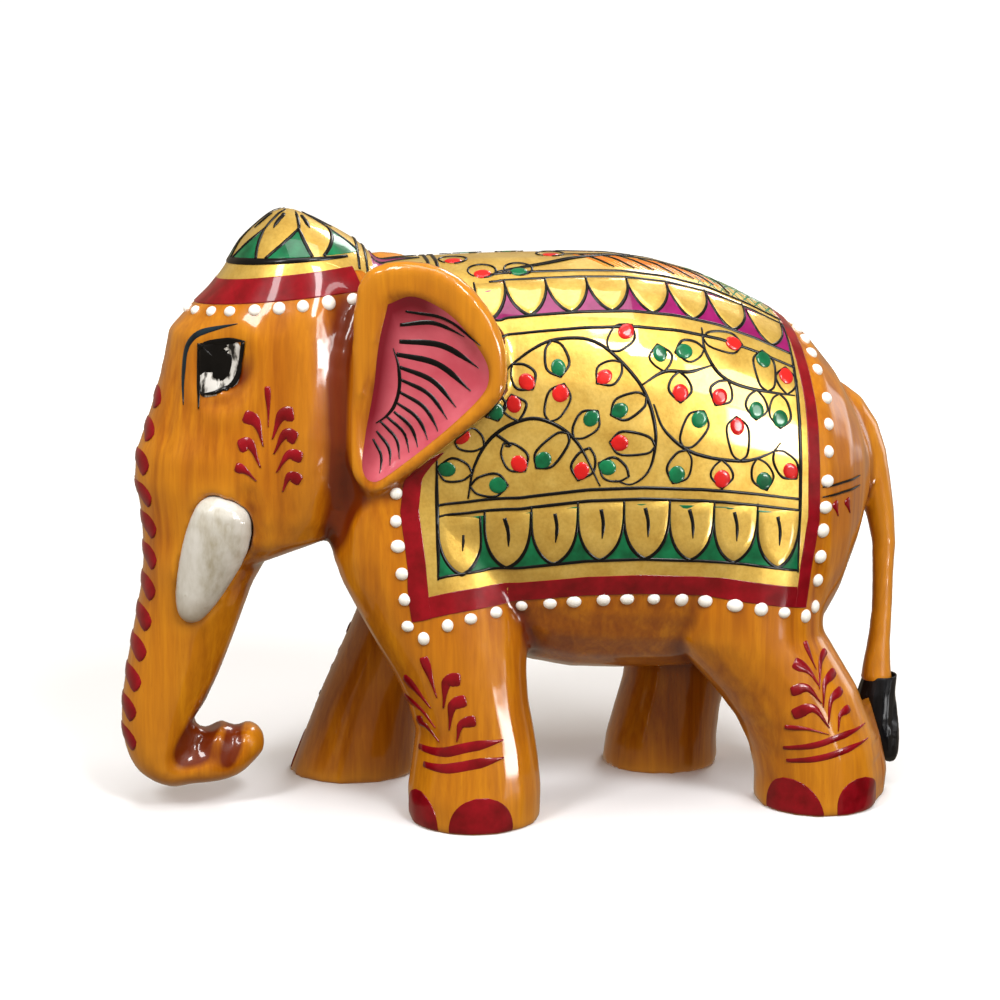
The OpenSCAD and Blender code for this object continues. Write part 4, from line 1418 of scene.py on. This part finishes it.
def sprays():
    """Dabs on the cheeks, trunk and legs, the bands over the feet, and the nails."""
    coat = Coat("crimson_sprays", CRIMSON, "crimson_lacquer")
    for side in (LEFT, RIGHT):
        for width, line in CHEEK:
            dab(coat, SKIN.seen_all(side, line), width)
    trunk_dabs(coat)
    for name in LEGS:
        pair = name.split("_")[0]
        for width, line in SPRAYS[pair]:
            dab(coat, [leg_side(name, y, z) for y, z in smooth_line(line, 1.5)], width)
        for width, line in BANDS[pair]:
            places = [leg_side(name, y, z) for y, z in smooth_line(line, LINE_STEP)]
            brush(coat, places, width, lift=COLOUR, taper=(0.6, 0.15))
        nails(name)
    coat.make()


def rump_lines():
    """Two lines behind the cloth with two dabs under them."""
    lines = Coat("rump_lines", BLACK, "black_lacquer")
    dabs = Coat("rump_dabs", CRIMSON, "crimson_lacquer")
    for side in (LEFT, RIGHT):
        for z in (65.6, 63.7):
            line = [(y, z + 0.05 * (y - 56)) for y in np.linspace(55.4, 65.5, 16)]
            brush(lines, SKIN.seen_all(side, line), 0.5)
        for y in (58.4, 61.6):
            dab(dabs, SKIN.seen_all(side, [(y + f, 62.4 - 3 * f) for f in (0, 0.5, 1)]), 2.0)
    lines.make()
    dabs.make()


# ---------- floor, light and camera ----------

# In metres, as Blender's lights and camera take them
TARGET = Vector((0, -2.8, 59.6)) * MM
FRONT_LEG = Vector((27.5, -6, 17)) * MM
TRUNK_CROOK = Vector((7, -62, 12)) * MM
HIND_LEG = Vector((28, 69, 15)) * MM
# The camera's azimuth, elevation and distance from the target, and its lens
VIEW = (81, 11, 0.45)
LENS = 81
# Lights: azimuth, elevation, distance, size, power, and whether the lacquer mirrors them
LIGHTS = {
    "key": (42, 44, 0.8, (0.16, 0.30), 3.0, True),
    "side": (108, 44, 0.8, (0.16, 0.24), 3.5, True),
    "right": (128, 24, 0.8, (0.24, 0.24), 2.1, True),
    "front": (18, 20, 0.75, (0.16, 0.3), 0.8, False),
    "top": (90, 80, 0.8, (0.5, 0.4), 3.1, True),
    "back": (235, 42, 0.9, (0.25, 0.3), 2.8, True)}
# Cards that only show as reflections in the lacquer: azimuth, elevation, distance, size, strength
# (0 is black), and the place that they face
CARDS = {
    "flank_window": (129, 9.5, 0.6, (0.22, 0.14), 34, TARGET),
    "leg_window": (152, -8, 0.22, (0.13, 0.034), 26, FRONT_LEG),
    "rump_window": (200, 7, 0.6, (0.28, 0.25), 2.6, TARGET),
    "trunk_flag": (154, 0, 0.016, (0.036, 0.036), 0, TRUNK_CROOK),
    "hind_flag": (139, 0, 0.022, (0.03, 0.09), 0, HIND_LEG)}


def aim(made, target, azimuth, elevation, distance):
    """Places a light, a card or the camera round its target and turns it to face the target."""
    a, e = math.radians(azimuth), math.radians(elevation)
    out = Vector((math.sin(a) * math.cos(e), -math.cos(a) * math.cos(e), math.sin(e)))
    made.location = target + out * distance
    made.rotation_mode = "QUATERNION"
    made.rotation_quaternion = out.to_track_quat("Z", "Y")


def finish_stage(made, name, finish, *unseen_by):
    """Names a piece of the stage, gives it its finish, and hides it from some kinds of ray."""
    made.name = name
    made.data.materials.append(finish.material)
    for ray in unseen_by:
        setattr(made, "visible_" + ray, False)


def pale_floor():
    """A pale floor that grows evenly white with distance."""
    f = Finish("pale_floor", roughness=0.55)
    tone = f.noise(3, detail=2)
    f.colour(f.ramp(tone, (0.3, (0.83, 0.84, 0.86)), (0.7, (0.85, 0.86, 0.88))))
    away = build(f.tree, "VectorMath", {0: f.place}, operation="LENGTH").outputs["Value"]
    f.glow(f.level(away, 0.2, 0.8, 0.0, 0.85))
    bpy.ops.mesh.primitive_plane_add(size=16)
    finish_stage(bpy.context.active_object, "floor", f, "glossy", "diffuse")


def pale_wall():
    """A white wall far behind the figure."""
    f = Finish("pale_wall", roughness=0.9)
    f.colour(f.ramp(f.noise(1, detail=1), (0, (0.3, 0.3, 0.3)), (1, (0.32, 0.32, 0.32))))
    f.glow(0.95)
    bpy.ops.mesh.primitive_cylinder_add(vertices=96, radius=7.5, depth=6, end_fill_type="NOTHING")
    finish_stage(bpy.context.active_object, "wall", f, "diffuse", "glossy", "shadow")


def area_light(name, azimuth, elevation, distance, size, power, mirrored):
    data = bpy.data.lights.new(name, "AREA")
    data.shape = "RECTANGLE"
    data.size, data.size_y = size
    data.energy = power
    made = bpy.data.objects.new(name, data)
    bpy.context.scene.collection.objects.link(made)
    aim(made, TARGET, azimuth, elevation, distance)
    made.visible_camera = False
    made.visible_glossy = mirrored


def card(name, azimuth, elevation, distance, size, strength, target):
    """A card with soft edges."""
    f = Finish(name, roughness=1.0)
    f.colour(f.ramp(f.noise(2, detail=1), (0, (0, 0, 0)), (1, (0.01, 0.01, 0.01))))
    inwards = build(f.tree, "VectorMath", {0: f.place}, operation="ABSOLUTE").outputs["Vector"]
    sides = build(f.tree, "SeparateXYZ", {"Vector": inwards}).outputs
    edge = build(f.tree, "Math", {0: sides["X"], 1: sides["Y"]}, operation="MAXIMUM").outputs["Value"]
    f.glow(f.level(edge, 0.26, 0.5, strength, 0))
    bpy.ops.mesh.primitive_plane_add(size=1)
    made = bpy.context.active_object
    aim(made, target, azimuth, elevation, distance)
    made.scale = (*size, 1)
    finish_stage(made, name, f, "camera", "diffuse", "shadow", "transmission", "volume_scatter")


def studio():
    """The light of the room, the lights, the cards and the camera."""
    scene = bpy.context.scene
    scene.view_settings.view_transform = "Standard"
    scene.world = bpy.data.worlds.new("studio")
    scene.world.use_nodes = True
    background = scene.world.node_tree.nodes["Background"].inputs
    background["Color"].default_value = (1.0, 0.82, 0.60, 1)
    background["Strength"].default_value = 0.34
    for name, numbers in LIGHTS.items():
        area_light(name, *numbers)
    for name, numbers in CARDS.items():
        card(name, *numbers)
    camera = bpy.data.cameras.new("camera")
    camera.lens, camera.sensor_width = LENS, 36
    camera.clip_start, camera.clip_end = 0.02, 50
    scene.camera = bpy.data.objects.new("camera", camera)
    scene.collection.objects.link(scene.camera)
    aim(scene.camera, TARGET, *VIEW)


BODY, BODY_FACES, BODY_EDGES = carve()
SKIN = Skin(BODY, BODY_FACES)
CHART = Chart(SKIN)

pale_floor()
pale_wall()
studio()
block()
tusks()
eyes()
brows()
tuft()
saddle()
head_coats()
head_beads()
nape()
ears()
sprays()
rump_lines()
